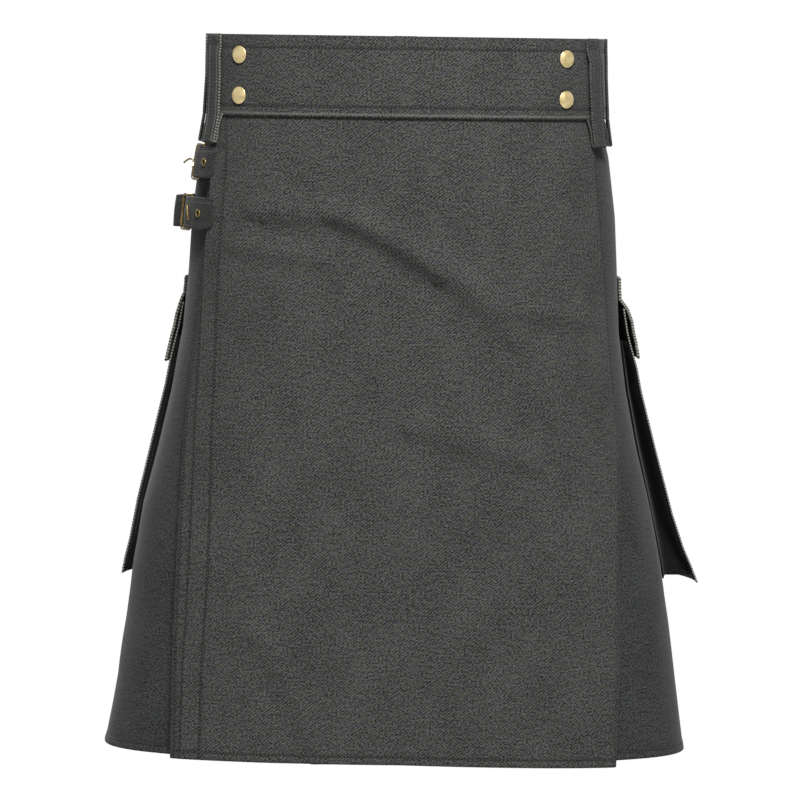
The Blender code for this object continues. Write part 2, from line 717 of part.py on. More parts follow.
class Strap:
    """One hip strap with its buckle: all measures run from the front centre to the left."""

    def __init__(self, row):
        data = dict(zip(STRAP_COLUMNS, row))
        self.name = data["name"]
        self.ring = Ring(data["drop"])
        self.bulge = data["bulge"]
        self.past_edge = data["tip_past_edge"]
        self.eyelet = data["eyelet_behind_tip"]
        self.bar = self.ring.side_place(LEFT) - data["bar_before_side"]
        self.hinge = self.bar - BUCKLE_LENGTH
        self.free = free_place(self.ring)
        self.fold = front_fold(self.ring, LEFT).edge
        self.apron_face = 2 * SEWN_STEP + CLOTH / 2
        self.strap_at_bar = self.hip_face(self.bar) + data["bar_lift"]
        tab_low = max(self.hip_face(self.hinge), 0.0) + STRAP_LAY + TAB_CLOTH / 2
        self.hinge_level = tab_low + TAB_CLOTH / 2 + WIRE_GAP + BUCKLE_WIRE
        self.bar_level = self.strap_at_bar + STRAP_CLOTH / 2 + WIRE_GAP + BUCKLE_WIRE
        tab_top = self.hinge_level + BUCKLE_WIRE + WIRE_GAP + TAB_CLOTH
        self.over_hinge = tab_top + WIRE_GAP + STRAP_CLOTH / 2

    def hip_face(self, place):
        """Outer face of the hip panel at a distance from the front centre."""
        return float(hip_level(self.ring, LEFT, np.array([place]))[0]) + CLOTH / 2

    def path(self):
        """The strap from its tip over the apron's edge, through the buckle and back along the hip."""
        low = STRAP_CLOTH / 2 + STRAP_LAY
        over_edge = apron_levels(self.ring)[0][0] + CLOTH / 2 + low
        tab_top = self.apron_face + LAY_GAP + 2 * TAB_CLOTH + SEAM_GAP
        tip = self.free - self.past_edge
        crest = max(self.over_hinge, tab_top + low)
        stops = [
            (tip, over_edge),
            (tip + 8 * MM, over_edge - 0.2 * MM),
            (self.hinge - 9 * MM, crest + 0.2 * MM),
            (self.hinge, crest),
            (self.hinge + 4 * MM, crest - 0.6 * MM),
            (self.bar - 4 * MM, self.strap_at_bar + 0.3 * MM),
        ]
        for distance, share in STRAP_SLACK:
            stops.append((self.bar + distance * MM, self.strap_at_bar + share * self.bulge))
        landing = self.bar + STRAP_LANDS[0]
        stops.append((landing, self.hip_face(landing) + low + STRAP_LANDS[1] * self.bulge))
        for distance in STRAP_SEWN:
            stops.append((self.bar + distance, self.hip_face(self.bar + distance) + low))
        even = np.linspace(tip, stops[-1][0], STRAP_STEPS)
        return even, np.interp(even, *zip(*stops))

    def tab_path(self):
        """The folded loop that holds the hinge bar, sewn under the over apron's edge."""
        inside = self.free - TAB_SEWN
        low = self.apron_face + 0.5 * STRAP_LAY + TAB_CLOTH / 2
        high = low + TAB_CLOTH + SEAM_GAP
        reach = BUCKLE_WIRE + WIRE_GAP + TAB_CLOTH / 2
        turn = np.linspace(-math.pi / 2, math.pi / 2, 7)
        bend_places = self.hinge + reach * np.cos(turn)
        bend_levels = self.hinge_level + reach * np.sin(turn)
        knee = self.fold + 5 * MM
        run = np.linspace(inside, self.hinge, 14)[:-1]
        lower = np.interp(run, (inside, knee, self.hinge), (low, low, bend_levels[0]))
        upper = np.interp(run, (inside, knee, self.hinge), (high, high, bend_levels[-1]))
        places = np.concatenate((run, bend_places, run[::-1]))
        levels = np.concatenate((lower, bend_levels, upper[::-1]))
        return places, levels


def hip_strip(name, middle, places, levels, width, thickness, look):
    """A strip laid along the left hip: its middle line at its two edges, given a thickness."""
    sheets = ([], [])
    for drop in (middle.drop - width / 2, middle.drop + width / 2):
        ring = Ring(drop)
        shift = ring.side_place(LEFT) - middle.side_place(LEFT)
        x, y = ring.at(-(places + shift), levels)
        for sheet, distance in zip(sheets, (-thickness / 2, thickness / 2)):
            side_x, side_y = offset_line(x, y, distance)
            sheet.append(np.stack((side_x, side_y, np.full(side_x.shape, ring.height)), axis=1))
    vertices = np.concatenate(sheets[0] + sheets[1])
    return solid(name, vertices, block_faces(2, len(places)), look)


def tube(name, points, radius, closed, look, sides=6):
    """A round wire along some points, closed on itself or capped."""
    points = np.array(points)
    ahead = np.roll(points, -1, axis=0) - points
    behind = points - np.roll(points, 1, axis=0)
    if not closed:
        ahead[-1] = behind[-1]
        behind[0] = ahead[0]
    ahead /= np.linalg.norm(ahead, axis=1)[:, None]
    behind /= np.linalg.norm(behind, axis=1)[:, None]
    flat = np.linalg.svd(points - points.mean(axis=0))[2][2]
    vertices = []
    faces = []
    turn = np.arange(sides) * 2 * math.pi / sides
    for point, direction in zip(points, ahead + behind):
        across = np.cross(direction, flat)
        across /= np.linalg.norm(across)
        circle = np.outer(np.cos(turn), across) + np.outer(np.sin(turn), flat)
        vertices.extend(point + radius * circle)
    count = len(points)
    for row in range(count if closed else count - 1):
        for side in range(sides):
            after = (side + 1) % sides
            lower = ((row + 1) % count) * sides
            faces.append([row * sides + side, row * sides + after, lower + after, lower + side])
    if not closed:
        faces.append(list(range(sides))[::-1])
        faces.append([(count - 1) * sides + side for side in range(sides)])
    return solid(name, vertices, faces, look)


def hip_point(strap, place, level, rise):
    """A point over the left hip at a strap's height, raised or lowered on the flaring ring."""
    ring = Ring(strap.ring.drop - rise)
    shift = ring.side_place(LEFT) - strap.ring.side_place(LEFT)
    x, y = ring.at(-(place + shift), level)
    return np.array((float(x), float(y), ring.height))


def buckle_points(strap):
    """Middle line of the buckle's rectangular frame with round corners, as a flat frame."""
    half = BUCKLE_HEIGHT / 2
    bar_top = hip_point(strap, strap.bar, strap.bar_level, half)
    bar_foot = hip_point(strap, strap.bar, strap.bar_level, -half)
    hinge_top = hip_point(strap, strap.hinge, strap.hinge_level, half)
    hinge_foot = hip_point(strap, strap.hinge, strap.hinge_level, -half)
    corners = (bar_top, hinge_top, hinge_foot, bar_foot)
    points = []
    for index, corner in enumerate(corners):
        before = corners[index - 1] - corner
        after = corners[(index + 1) % 4] - corner
        before = corner + before / np.linalg.norm(before) * BUCKLE_CORNER
        after = corner + after / np.linalg.norm(after) * BUCKLE_CORNER
        for share in (0.0, 0.5, 1.0):
            bend = 2 * share * (1 - share) * corner
            points.append((1 - share) ** 2 * before + bend + share ** 2 * after)
    return points


def prong_points(strap):
    """The prong's line: each row stands on the strap's face, the last ones over the front bar."""
    places, levels = strap.path()
    points = []
    for behind, over, rise in PRONG_ROWS[strap.name]:
        place = strap.hinge + behind * MM
        face = float(np.interp(place, places, levels)) + STRAP_CLOTH / 2
        level = face + SEAM_GAP + PRONG_WIRE + over * MM
        points.append(hip_point(strap, place, level, rise * MM))
    return points


def eyelet(name, centre, axis, look, sides=12):
    """A rolled brass ring lying on the strap."""
    axis = np.array(axis, dtype=float)
    axis /= np.linalg.norm(axis)
    aside = np.cross((0.0, 0.0, 1.0), axis)
    aside /= np.linalg.norm(aside)
    upward = np.cross(axis, aside)
    vertices = []
    faces = []
    count = len(EYELET_PROFILE)
    for side in range(sides):
        angle = 2 * math.pi * side / sides
        away = math.cos(angle) * aside + math.sin(angle) * upward
        for radius, height in EYELET_PROFILE:
            vertices.append(np.array(centre) + away * radius * MM + axis * height * MM)
        after = (side + 1) % sides
        for row in range(count):
            below = (row + 1) % count
            here = side * count
            there = after * count
            faces.append([here + row, here + below, there + below, there + row])
    return solid(name, vertices, faces, look)


def build_straps(denim, brass):
    """Two hip straps, each through a brass buckle held by a folded tab."""
    for row in STRAP_ROWS:
        strap = Strap(row)
        places, levels = strap.path()
        tab_places, tab_levels = strap.tab_path()
        hip_strip("strap_" + strap.name, strap.ring, places, levels, STRAP_WIDTH, STRAP_CLOTH, denim)
        hip_strip("buckle_tab_" + strap.name, strap.ring, tab_places, tab_levels, TAB_WIDTH, TAB_CLOTH, denim)
        tube("buckle_" + strap.name, buckle_points(strap), BUCKLE_WIRE, True, brass)
        tube("buckle_prong_" + strap.name, prong_points(strap), PRONG_WIRE, False, brass)
        place = places[0] + strap.eyelet
        level = float(np.interp(place, places, levels)) + STRAP_CLOTH / 2 + 1.5 * SEAM_GAP
        above = hip_point(strap, place, level, 4 * MM) - hip_point(strap, place, level, -4 * MM)
        along = hip_point(strap, place + 2 * MM, level, 0.0) - hip_point(strap, place - 2 * MM, level, 0.0)
        eyelet("eyelet_" + strap.name, hip_point(strap, place, level, 0.0), np.cross(above, along), brass)


def pocket_places(ring, side, margin=0.0):
    """Columns across a pocket, from its front edge to its back edge."""
    start = ring.side_place(side) + POCKET_SHIFT[side]
    return np.linspace(start + margin, start + POCKET_WIDTH - margin, POCKET_STEPS + 1)


def pocket_wall(name, drops, side, lift, thickness, look, margin=0.0):
    """A piece of a pocket: the hip panel's own points, moved out by a lift for each drop."""
    flip = 1 if side == RIGHT else -1

    def path(ring):
        places = pocket_places(ring, side, margin)
        return flip * places, hip_level(ring, side, places) + CLOTH / 2 + lift(ring.drop)

    return wall(name, [Ring(drop) for drop in drops], path, thickness, look)


def gusset(name, side, look):
    """The strip that joins a pocket's front to its back, down one side, along the foot and up."""
    flip = 1 if side == RIGHT else -1
    foot = POCKET_BOTTOM - GUSSET_INSET
    stops = [(drop, 0.0) for drop in FRONT_DROPS[1:-1]]
    stops += [(foot, share) for share in np.linspace(0.0, 1.0, GUSSET_FOOT_STEPS + 1)]
    stops += [(drop, 1.0) for drop in FRONT_DROPS[-2:0:-1]]
    corners = ((0, 0), (1, 0), (1, 1), (0, 1))
    vertices = []
    for drop, share in stops:
        inward = GUSSET_INSET + GUSSET_CLOTH
        for deep, high in corners:
            margin = inward if deep else GUSSET_INSET
            row_drop = drop - GUSSET_CLOTH if deep and drop == foot else drop
            ring = Ring(row_drop)
            ends = pocket_places(ring, side, margin)[[0, -1]]
            place = ends[0] + (ends[1] - ends[0]) * share
            base = float(hip_level(ring, side, np.array([place]))[0]) + CLOTH / 2
            low = base + GUSSET_LAY
            stand = column(POCKET_ROWS, POCKET_COLUMNS, side + "_front", row_drop)
            top = base + stand - POCKET_CLOTH / 2 - POCKET_LAY
            x, y = ring.at(flip * place, top if high else low)
            vertices.append((float(x), float(y), ring.height))
    faces = []
    for row in range(len(stops) - 1):
        for corner in range(4):
            after = (corner + 1) % 4
            next_row = (row + 1) * 4
            faces.append([row * 4 + corner, row * 4 + after, next_row + after, next_row + corner])
    faces.append([3, 2, 1, 0])
    last = (len(stops) - 1) * 4
    faces.append([last, last + 1, last + 2, last + 3])
    return solid(name, vertices, faces, look)


def build_pockets(denim):
    """A bellows pocket with its band and flap on each hip."""
    for side in (LEFT, RIGHT):
        def stand(drop, side=side):
            return column(POCKET_ROWS, POCKET_COLUMNS, side + "_front", drop)

        def hang(drop, side=side):
            return column(POCKET_ROWS, POCKET_COLUMNS, side + "_flap", drop)

        def lie(drop):
            return POCKET_LAY + BAND_PIECE_CLOTH / 2

        gusset("pocket_gusset_" + side, side, denim)
        pocket_wall("pocket_front_" + side, FRONT_DROPS, side, stand, POCKET_CLOTH, denim)
        pocket_wall("pocket_flap_" + side, FLAP_DROPS[side], side, hang, BAND_PIECE_CLOTH, denim)
        pocket_wall("pocket_band_" + side, POCKET_BAND[side], side, lie, BAND_PIECE_CLOTH, denim)


def main():
    """Build the whole kilt."""
    clear_scene()
    denim = material("dark_denim", (0.035, 0.037, 0.036), 0.9, 0.0)
    brass = material("antique_brass", (0.36, 0.27, 0.13), 0.35, 1.0)
    rings = [Ring(drop) for drop in PANEL_DROPS]
    build_panels(rings, denim)
    build_waistband(denim)
    build_belt_loops(denim)
    build_snaps(brass)
    build_straps(denim, brass)
    build_pockets(denim)


main()
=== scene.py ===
# %% [markdown]
# # A utility kilt in charcoal denim
# The kilt is a long wrap of denim. A flat front apron closes over an under apron with four brass
# snaps, two short straps with buckles take up the hip, and the back is folded into knife pleats.
# The solids of the part are loaded first as a fixed frame. Every cloth piece below is worked out
# again from the same sizes, only much finer, and takes the place of its plain solid.
# %% Load the frame
import math

import bpy
import numpy as np
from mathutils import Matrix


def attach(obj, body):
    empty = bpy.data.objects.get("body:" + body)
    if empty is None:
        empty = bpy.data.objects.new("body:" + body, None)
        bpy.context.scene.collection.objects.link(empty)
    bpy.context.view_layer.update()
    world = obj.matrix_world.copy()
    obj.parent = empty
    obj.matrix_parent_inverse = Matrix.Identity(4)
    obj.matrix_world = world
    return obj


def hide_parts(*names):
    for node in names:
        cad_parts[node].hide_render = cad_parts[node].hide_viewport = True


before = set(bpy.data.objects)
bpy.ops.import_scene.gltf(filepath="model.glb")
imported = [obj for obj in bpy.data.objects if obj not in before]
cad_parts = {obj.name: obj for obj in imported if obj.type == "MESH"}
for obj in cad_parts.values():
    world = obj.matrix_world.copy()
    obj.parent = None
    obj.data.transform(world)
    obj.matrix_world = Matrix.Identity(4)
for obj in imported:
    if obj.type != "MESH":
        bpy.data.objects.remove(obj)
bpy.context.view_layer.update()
print("solids:", len(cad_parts))

MM = 0.001
BODY = "root"
LEFT, RIGHT = "left", "right"

# %% [markdown]
# ## Camera, light and floor
# The photo was taken with a long lens level with the waistband's top, looking slightly down. The
# long lens keeps both edges of the kilt nearly parallel. The studio is a plain pale floor, a white
# surround, a strong soft box above the camera and a weak one beside it: the front looks
# brighter than the sides, and each crease shows as a light band over a dark one. A third lights
# the pleats at the back, which the photo doesn't show.
# %% Camera
PHOTO_SIDE = 800
LENS_PIXELS = 5261
CAMERA_SPOT = (0.0, -4.5, 0.033)
CAMERA_PITCH = math.radians(-3.94)
CAMERA_ROLL = math.radians(0.8)

lens = bpy.data.cameras.new("studio_lens")
lens.sensor_width = 36
lens.lens = LENS_PIXELS / PHOTO_SIDE * 36
camera = bpy.data.objects.new("studio_camera", lens)
bpy.context.scene.collection.objects.link(camera)
camera.location = CAMERA_SPOT
camera.rotation_mode = "ZXY"
camera.rotation_euler = (math.pi / 2 + CAMERA_PITCH, 0.0, 0.0)
bpy.context.view_layer.update()
turn = camera.rotation_euler.to_matrix().to_4x4()
roll = type(turn).Rotation(CAMERA_ROLL, 4, "Z")
camera.rotation_euler = (turn @ roll).to_euler("ZXY")
bpy.context.scene.camera = camera
print("lens:", round(lens.lens, 1), "mm")


# %% Small helpers for nodes and colours
def linear(hex_colour):
    """An sRGB hex colour as linear RGBA: c/12.92 below 0.04045, else ((c+0.055)/1.055)^2.4."""
    parts = [int(hex_colour[i:i + 2], 16) / 255 for i in (1, 3, 5)]
    parts = [c / 12.92 if c <= 0.04045 else ((c + 0.055) / 1.055) ** 2.4 for c in parts]
    return (*parts, 1.0)


def add(tree, kind, settings=None, links=None):
    """Add a node, set its properties, and fill its inputs with values or other nodes' outputs."""
    node = tree.nodes.new(kind)
    for key, value in (settings or {}).items():
        setattr(node, key, value)
    for key, value in (links or {}).items():
        if isinstance(value, bpy.types.NodeSocket):
            tree.links.new(value, node.inputs[key])
        else:
            node.inputs[key].default_value = value
    return node


def new_material(name):
    """An empty Principled material: its tree, shader and output are ready for more nodes."""
    made = bpy.data.materials.new(name)
    made.use_nodes = True
    return made, made.node_tree, made.node_tree.nodes["Principled BSDF"]


# %% Floor, surround and lights
FLOOR_DROP = 1.05
FLOOR_REACH = 2.4
floor_mesh = bpy.data.meshes.new("studio_floor")
floor_mesh.from_pydata([(x * FLOOR_REACH, y * FLOOR_REACH, -FLOOR_DROP)
                        for x, y in ((-1, -1), (1, -1), (1, 1), (-1, 1))], [], [(0, 1, 2, 3)])
floor = bpy.data.objects.new("studio_floor", floor_mesh)
bpy.context.scene.collection.objects.link(floor)
paint, tree, shader = new_material("studio_floor_paint")
shader.inputs["Base Color"].default_value = linear("#d2d2d0")
shader.inputs["Roughness"].default_value = 0.9
floor_mesh.materials.append(paint)

# The surround is plain white to the camera and in the brass, and lights the cloth with less.
SURROUND_LIGHT = 0.16
surround = bpy.data.worlds.new("studio_surround")
surround.use_nodes = True
tree = surround.node_tree
seen = add(tree, "ShaderNodeLightPath")
plain = add(tree, "ShaderNodeMath", {"operation": "MAXIMUM"},
            {0: seen.outputs["Is Camera Ray"], 1: seen.outputs["Is Glossy Ray"]})
strength = add(tree, "ShaderNodeMapRange", None,
               {"Value": plain.outputs[0], "To Min": SURROUND_LIGHT, "To Max": 1.0})
backlight = tree.nodes["Background"]
backlight.inputs["Color"].default_value = (1.0, 1.0, 1.0, 1.0)
tree.links.new(strength.outputs["Result"], backlight.inputs["Strength"])
bpy.context.scene.world = surround
bpy.context.scene.view_settings.view_transform = "Standard"

# Each soft box: name, degrees to the right of the camera, degrees up, size in metres and watts.
SOFT_BOX_ROWS = (
    ("key_soft_box", 8, 47, 1.1, 240.0),
    ("fill_soft_box", -6, 12, 1.6, 12.0),
    ("back_soft_box", 196, 34, 1.8, 150.0),
)
SOFT_BOX_DISTANCE = 3.6
AIM = (0.0, 0.0, -0.25)
for name, turn_right, turn_up, size, power in SOFT_BOX_ROWS:
    light = bpy.data.lights.new(name, "AREA")
    light.size = size
    light.energy = power
    holder = bpy.data.objects.new(name, light)
    bpy.context.scene.collection.objects.link(holder)
    azimuth, height = math.radians(turn_right), math.radians(turn_up)
    flat = SOFT_BOX_DISTANCE * math.cos(height)
    holder.location = (flat * math.sin(azimuth), -flat * math.cos(azimuth),
                       SOFT_BOX_DISTANCE * math.sin(height) + AIM[2])
    direction = type(holder.location)(AIM) - holder.location
    holder.rotation_euler = direction.to_track_quat("-Z", "Y").to_euler()

# %% [markdown]
# ## The rings that every panel follows
# Seen from above, the filled-out kilt is a rounded oblong: nearly flat in front, fuller behind and
# wider towards the hem. At each drop below the waistband's top edge a ring gives that outline. A
# place is a distance along the ring from the front centre, and a level is how far a layer stands
# outside it, so folded and overlapping layers are easy to state as two short lists of numbers.
# %% Rings
LENGTH = 610 * MM
BAND_HEIGHT = 66 * MM
WAIST_TOP = BAND_HEIGHT / 2
SEWN_DOWN_TO = 250 * MM
CLOTH = 1.4 * MM
BAND_CLOTH = 2.4 * MM
LAY_GAP = 0.4 * MM
SEAM_GAP = 0.3 * MM
BEND_SEAM_GAP = 0.75 * MM
FRONT_ROUNDNESS = 2.6
BACK_ROUNDNESS = 2.25
RING_SAMPLES = 1440

# Reach to the viewer's left and right and depth to the front and back at each drop, in mm.
SECTION_COLUMNS = ("drop", "left", "right", "front", "back")
SECTION_ROWS = (
    (0, 160.0, 162.5, 104.0, 110.0),
    (33, 160.0, 163.2, 106.0, 113.0),
    (66, 161.8, 165.0, 108.0, 116.0),
    (100, 171.6, 173.4, 110.0, 121.0),
    (150, 177.9, 179.6, 113.0, 127.0),
    (200, 180.6, 182.4, 115.0, 132.0),
    (250, 185.0, 185.0, 117.0, 136.0),
    (300, 192.8, 191.0, 118.0, 140.0),
    (350, 203.1, 200.0, 119.0, 144.0),
    (400, 214.4, 211.0, 119.0, 148.0),
    (450, 222.2, 220.8, 119.0, 152.0),
    (500, 226.6, 228.0, 120.0, 156.0),
    (550, 232.2, 233.4, 120.0, 160.0),
    (610, 243.0, 240.6, 121.0, 165.0),
)

# How far the three front edges lie from the middle, seen from the front, in mm.
EDGE_COLUMNS = ("drop", "right_fold", "left_fold", "free_edge")
EDGE_ROWS = (
    (0, 152.6, 157.5, 157.0),
    (66, 158.5, 160.5, 158.4),
    (95, 161.2, 162.2, 159.2),
    (176, 169.5, 168.0, 164.6),
    (250, 175.8, 173.6, 167.4),
    (340, 185.7, 182.4, 170.9),
    (446, 187.1, 186.9, 173.9),
    (528, 188.3, 189.5, 177.9),
    (610, 186.6, 189.9, 180.2),
)

# How far each pocket's front stands off its hip panel, and its flap off the same panel, in mm.
POCKET_COLUMNS = ("drop", "left_front", "right_front", "left_flap", "right_flap")
POCKET_ROWS = (
    (222.0, 2.4, 4.5, 2.8, 2.8),
    (229.5, 2.4, 5.0, 5.0, 8.0),
    (240.0, 3.4, 6.2, 7.2, 11.5),
    (258.0, 4.8, 8.3, 8.8, 13.6),
    (280.0, 6.2, 11.6, 10.0, 14.8),
    (347.0, 7.0, 16.0, 0.0, 0.0),
    (404.0, 6.6, 18.5, 0.0, 0.0),
    (434.0, 7.2, 22.5, 0.0, 0.0),
    (463.0, 9.6, 29.5, 0.0, 0.0),
)


def column(rows, columns, name, drop):
    """One named column of a table at a drop, straight between its rows, in metres."""
    drops = np.array([row[0] for row in rows]) * MM
    values = np.array([row[columns.index(name)] for row in rows]) * MM
    return float(np.interp(drop, drops, values))


def ease(share):
    """Smooth step: 3 s^2 - 2 s^3 for s held between 0 and 1."""
    share = np.clip(share, 0.0, 1.0)
    return share * share * (3.0 - 2.0 * share)


class Ring:
    """A superellipse plan outline, x = reach sin^(2/n), y = -depth cos^(2/n), walked by length."""

    def __init__(self, drop):
        self.drop = drop
        self.height = WAIST_TOP - drop
        angle = np.linspace(-math.pi, math.pi, RING_SAMPLES + 1)
        across, along = np.sin(angle), np.cos(angle)
        roundness = np.where(along > 0, FRONT_ROUNDNESS, BACK_ROUNDNESS)
        sizes = [column(SECTION_ROWS, SECTION_COLUMNS, name, drop) for name in SECTION_COLUMNS[1:]]
        side = np.where(across > 0, sizes[1], sizes[0])
        depth = np.where(along > 0, sizes[2], sizes[3])
        x = side * np.sign(across) * np.abs(across) ** (2.0 / roundness)
        y = -depth * np.sign(along) * np.abs(along) ** (2.0 / roundness)
        walked = np.concatenate(([0.0], np.cumsum(np.hypot(np.diff(x), np.diff(y)))))
        walked -= walked[RING_SAMPLES // 2]
        self.place = np.linspace(walked[0], walked[-1], RING_SAMPLES + 1)
        self.x = np.interp(self.place, walked, x)
        self.y = np.interp(self.place, walked, y)
        self.length = walked[-1] - walked[0]
        self.half = {LEFT: -walked[0], RIGHT: walked[-1]}
        slope_x, slope_y = np.gradient(self.x, self.place), np.gradient(self.y, self.place)
        size = np.hypot(slope_x, slope_y)
        self.out_x, self.out_y = slope_y / size, -slope_x / size

    def at(self, place, level):
        """Plan points at some places, moved out by some levels."""
        place = np.asarray(place, dtype=float)
        look = [np.interp(place, self.place, values, period=self.length)
                for values in (self.x, self.y, self.out_x, self.out_y)]
        return look[0] + look[2] * level, look[1] + look[3] * level

    def outward(self, place):
        """Unit plan direction out of the ring at a place."""
        out = np.array([np.interp(place, self.place, values, period=self.length)
                        for values in (self.out_x, self.out_y)])
        return out / np.linalg.norm(out)

    def reach_place(self, distance, level, side):
        """Distance from the front centre to where a layer seen from the front reaches so far."""
        flip = 1 if side == RIGHT else -1
        ahead = (self.place * flip >= 0) & (self.y < 0)
        walked = self.place[ahead] * flip
        seen = (self.x[ahead] + self.out_x[ahead] * level) * flip
        order = np.argsort(walked)
        return float(np.interp(distance, seen[order], walked[order]))

    def side_place(self, side):
        """Distance from the front centre to the outermost point of a side."""
        flip = 1 if side == RIGHT else -1
        return float(self.place[np.argmax(self.x * flip)] * flip)


rings = {}


def ring_at(drop):
    """The ring at a drop, kept so that each is worked out once."""
    key = round(drop / MM, 3)
    if key not in rings:
        rings[key] = Ring(drop)
    return rings[key]


print("waist:", round(ring_at(0.0).length, 3), "m, hem:", round(ring_at(LENGTH).length, 3), "m")

# %% [markdown]
# ## Folds
# A knife pleat is three layers: the face that shows, a run back under it, and a run forward again.
# Each turn between them is half a circle whose width is the spacing of the layers. The pleats are
# sewn flat down to the hip, where the layers lie close, and spring open a little below.
# %% Folds
BACK_FOLDS = (0.76, 0.84, 0.92, 1.0)
BACK_UNDERLAP = 0.5
CENTRE_BACK_SPLIT = 0.8 * MM
SEWN_STEP = 1.9 * MM
FRONT_HEM_STEP = 5.5 * MM
BACK_HEM_STEP = 5.0 * MM
FRONT_UNDERLAP_TOP = 9 * MM
FRONT_UNDERLAP_HEM = 45 * MM
UNDER_EDGE_REACH = 145 * MM
UNDER_EDGE_LEVEL = -2.4 * MM
APRON_STEP = 5.0 * MM
HEM_ROLL = 5.0 * MM
FOLD_STEPS = 9
OVERLAP_STEPS = 7
SIDE_STEPS = 64
BACK_FACE_STEPS = 12


def opening(drop, hem_step):
    """Spacing of a pleat's layers: flat where sewn down, wider towards the hem."""
    share = (drop - SEWN_DOWN_TO) / (LENGTH - SEWN_DOWN_TO)
    return SEWN_STEP + (hem_step - SEWN_STEP) * max(0.0, share) ** 0.8


class Fold:
    """One knife fold: its edge, underlap and the spacing of its three layers."""

    def __init__(self, edge, underlap, step):
        self.edge, self.underlap, self.step = edge, underlap, step
        self.radius = step / 2
        share = 1 - np.linspace(1.0, 0.0, OVERLAP_STEPS + 1) ** 1.6
        self.run = edge - underlap + self.radius + (underlap - step) * share

    def outer_turn(self):
        """Half circle at the edge, from the outer layer to the middle one."""
        angle = np.linspace(math.pi / 2, -math.pi / 2, FOLD_STEPS + 1)[1:-1]
        places = self.edge - self.radius + self.radius * np.cos(angle)
        return places, 1.5 * self.step + self.radius * np.sin(angle)

    def inner_turn(self):
        """Hidden half circle, from the middle layer to the inner one."""
        angle = np.linspace(math.pi / 2, -math.pi / 2, FOLD_STEPS + 1)[:-1]
        places = self.edge - self.underlap + self.radius - self.radius * np.cos(angle)
        return places, 0.5 * self.step + self.radius * np.sin(angle)

    def back_run(self):
        """The middle layer from the edge to just short of the hidden bend's seam."""
        places = self.run[::-1].copy()
        places[-1] += BEND_SEAM_GAP
        return places, np.full(places.shape, self.step)


def front_fold(ring, side):
    """The fold at a front edge: the over apron's at the right, the under apron's at the left."""
    step = opening(ring.drop, FRONT_HEM_STEP)
    underlap = FRONT_UNDERLAP_TOP + (FRONT_UNDERLAP_HEM - FRONT_UNDERLAP_TOP) * ring.drop / LENGTH
    distance = column(EDGE_ROWS, EDGE_COLUMNS, side + "_fold", ring.drop)
    return Fold(ring.reach_place(distance, 2 * step, side), underlap, step)


def back_folds(ring, side):
    """The folds of one half of the back, from the hip to the centre back."""
    edges = [share * ring.half[side] for share in BACK_FOLDS]
    underlap = BACK_UNDERLAP * (edges[1] - edges[0])
    edges[-1] -= CENTRE_BACK_SPLIT
    step = opening(ring.drop, BACK_HEM_STEP)
    return [Fold(edge, underlap, step) for edge in edges]


def hip_level(ring, side, places):
    """Middle of the hip panel: it climbs from under the front fold, with one soft roll below."""
    front, back = front_fold(ring, side), back_folds(ring, side)[0]
    end = back.edge - back.underlap
    share = np.clip((places - front.edge) / (end - front.edge), 0.0, 1.0)
    sway = HEM_ROLL * max(0.0, (ring.drop - SEWN_DOWN_TO) / (LENGTH - SEWN_DOWN_TO))
    roll = sway * np.sin(2 * math.pi * share) * np.sin(math.pi * share)
    return 2 * back.step * ease(share) + roll


def join(*parts):
    """Chain (places, levels) runs into one."""
    places = np.concatenate([np.atleast_1d(part[0]) for part in parts])
    levels = np.concatenate([np.atleast_1d(part[1]) for part in parts])
    return places, levels


# %% [markdown]
# ## Creases
# Real denim is never flat. Long soft creases run from the snaps across the front apron, the hem
# sways, and stitching draws small puckers into the cloth beside it. Each crease here is a short
# row: a bent line seen from the front, how high its ridge stands and how wide it is. The cloth
# rises above the line and dips below it, so the steepest and darkest place lies on the line.
# %% Creases
# Points are (across, drop) in mm seen from the front, then height and width in mm.
FRONT_CREASES = (
    (((-108, 154), (-54, 157), (-25, 171), (12, 192), (48, 212), (84, 249)), 4.4, 10.0),
    (((-50, 156), (-28, 166), (-4, 180), (22, 197)), 4.0, 8.5),
    (((-128, 184), (-100, 188), (-74, 191)), 3.0, 8.0),
    (((85, 230), (120, 236), (156, 241)), 2.8, 7.0),
    (((18, 334), (55, 345), (92, 356)), 3.6, 11.0),
    (((-60, 448), (-54, 513)), 1.6, 8.0),
    (((-116, 512), (-95, 555), (-74, 602)), 2.6, 9.0),
    (((26, 355), (26, 478)), 0.4, 4.0),
    (((-103, 437), (81, 437)), 0.35, 4.0),
    (((118, 330), (124, 420), (120, 520)), 1.0, 14.0),
    (((-140, 300), (-128, 380), (-135, 450)), 0.8, 12.0),
)
SIDE_CREASES = (
    (((190, 387), (197, 430), (200, 466)), 2.2, 6.0),
    (((205, 500), (212, 570)), 1.2, 8.0),
    (((-215, 480), (-222, 580)), 1.4, 8.0),
)


def crease_push(creases, across, drop):
    """Ridge h exp(-((d-w)/w)^2), trough -h/4 exp(-((d+w)/w)^2); d is the distance above the line."""
    spot = np.stack(np.broadcast_arrays(across / MM, drop / MM), axis=-1)
    push = np.zeros(spot.shape[:-1])
    for points, height, width in creases:
        near = np.full(push.shape, 1e9)
        for start, end in zip(points, points[1:]):
            start, step = np.array(start, dtype=float), np.subtract(end, start).astype(float)
            share = np.clip(((spot - start) @ step) / (step @ step), 0.0, 1.0)
            away = spot - start - share[..., None] * step
            gap = np.linalg.norm(away, axis=-1) * np.sign(away @ np.array((step[1], -step[0])) + 1e-9)
            near = np.where(np.abs(gap) < np.abs(near), gap, near)
        push += height * np.exp(-(((near - width) / width) ** 2))
        push -= 0.25 * height * np.exp(-(((near + width) / width) ** 2))
    return push * MM


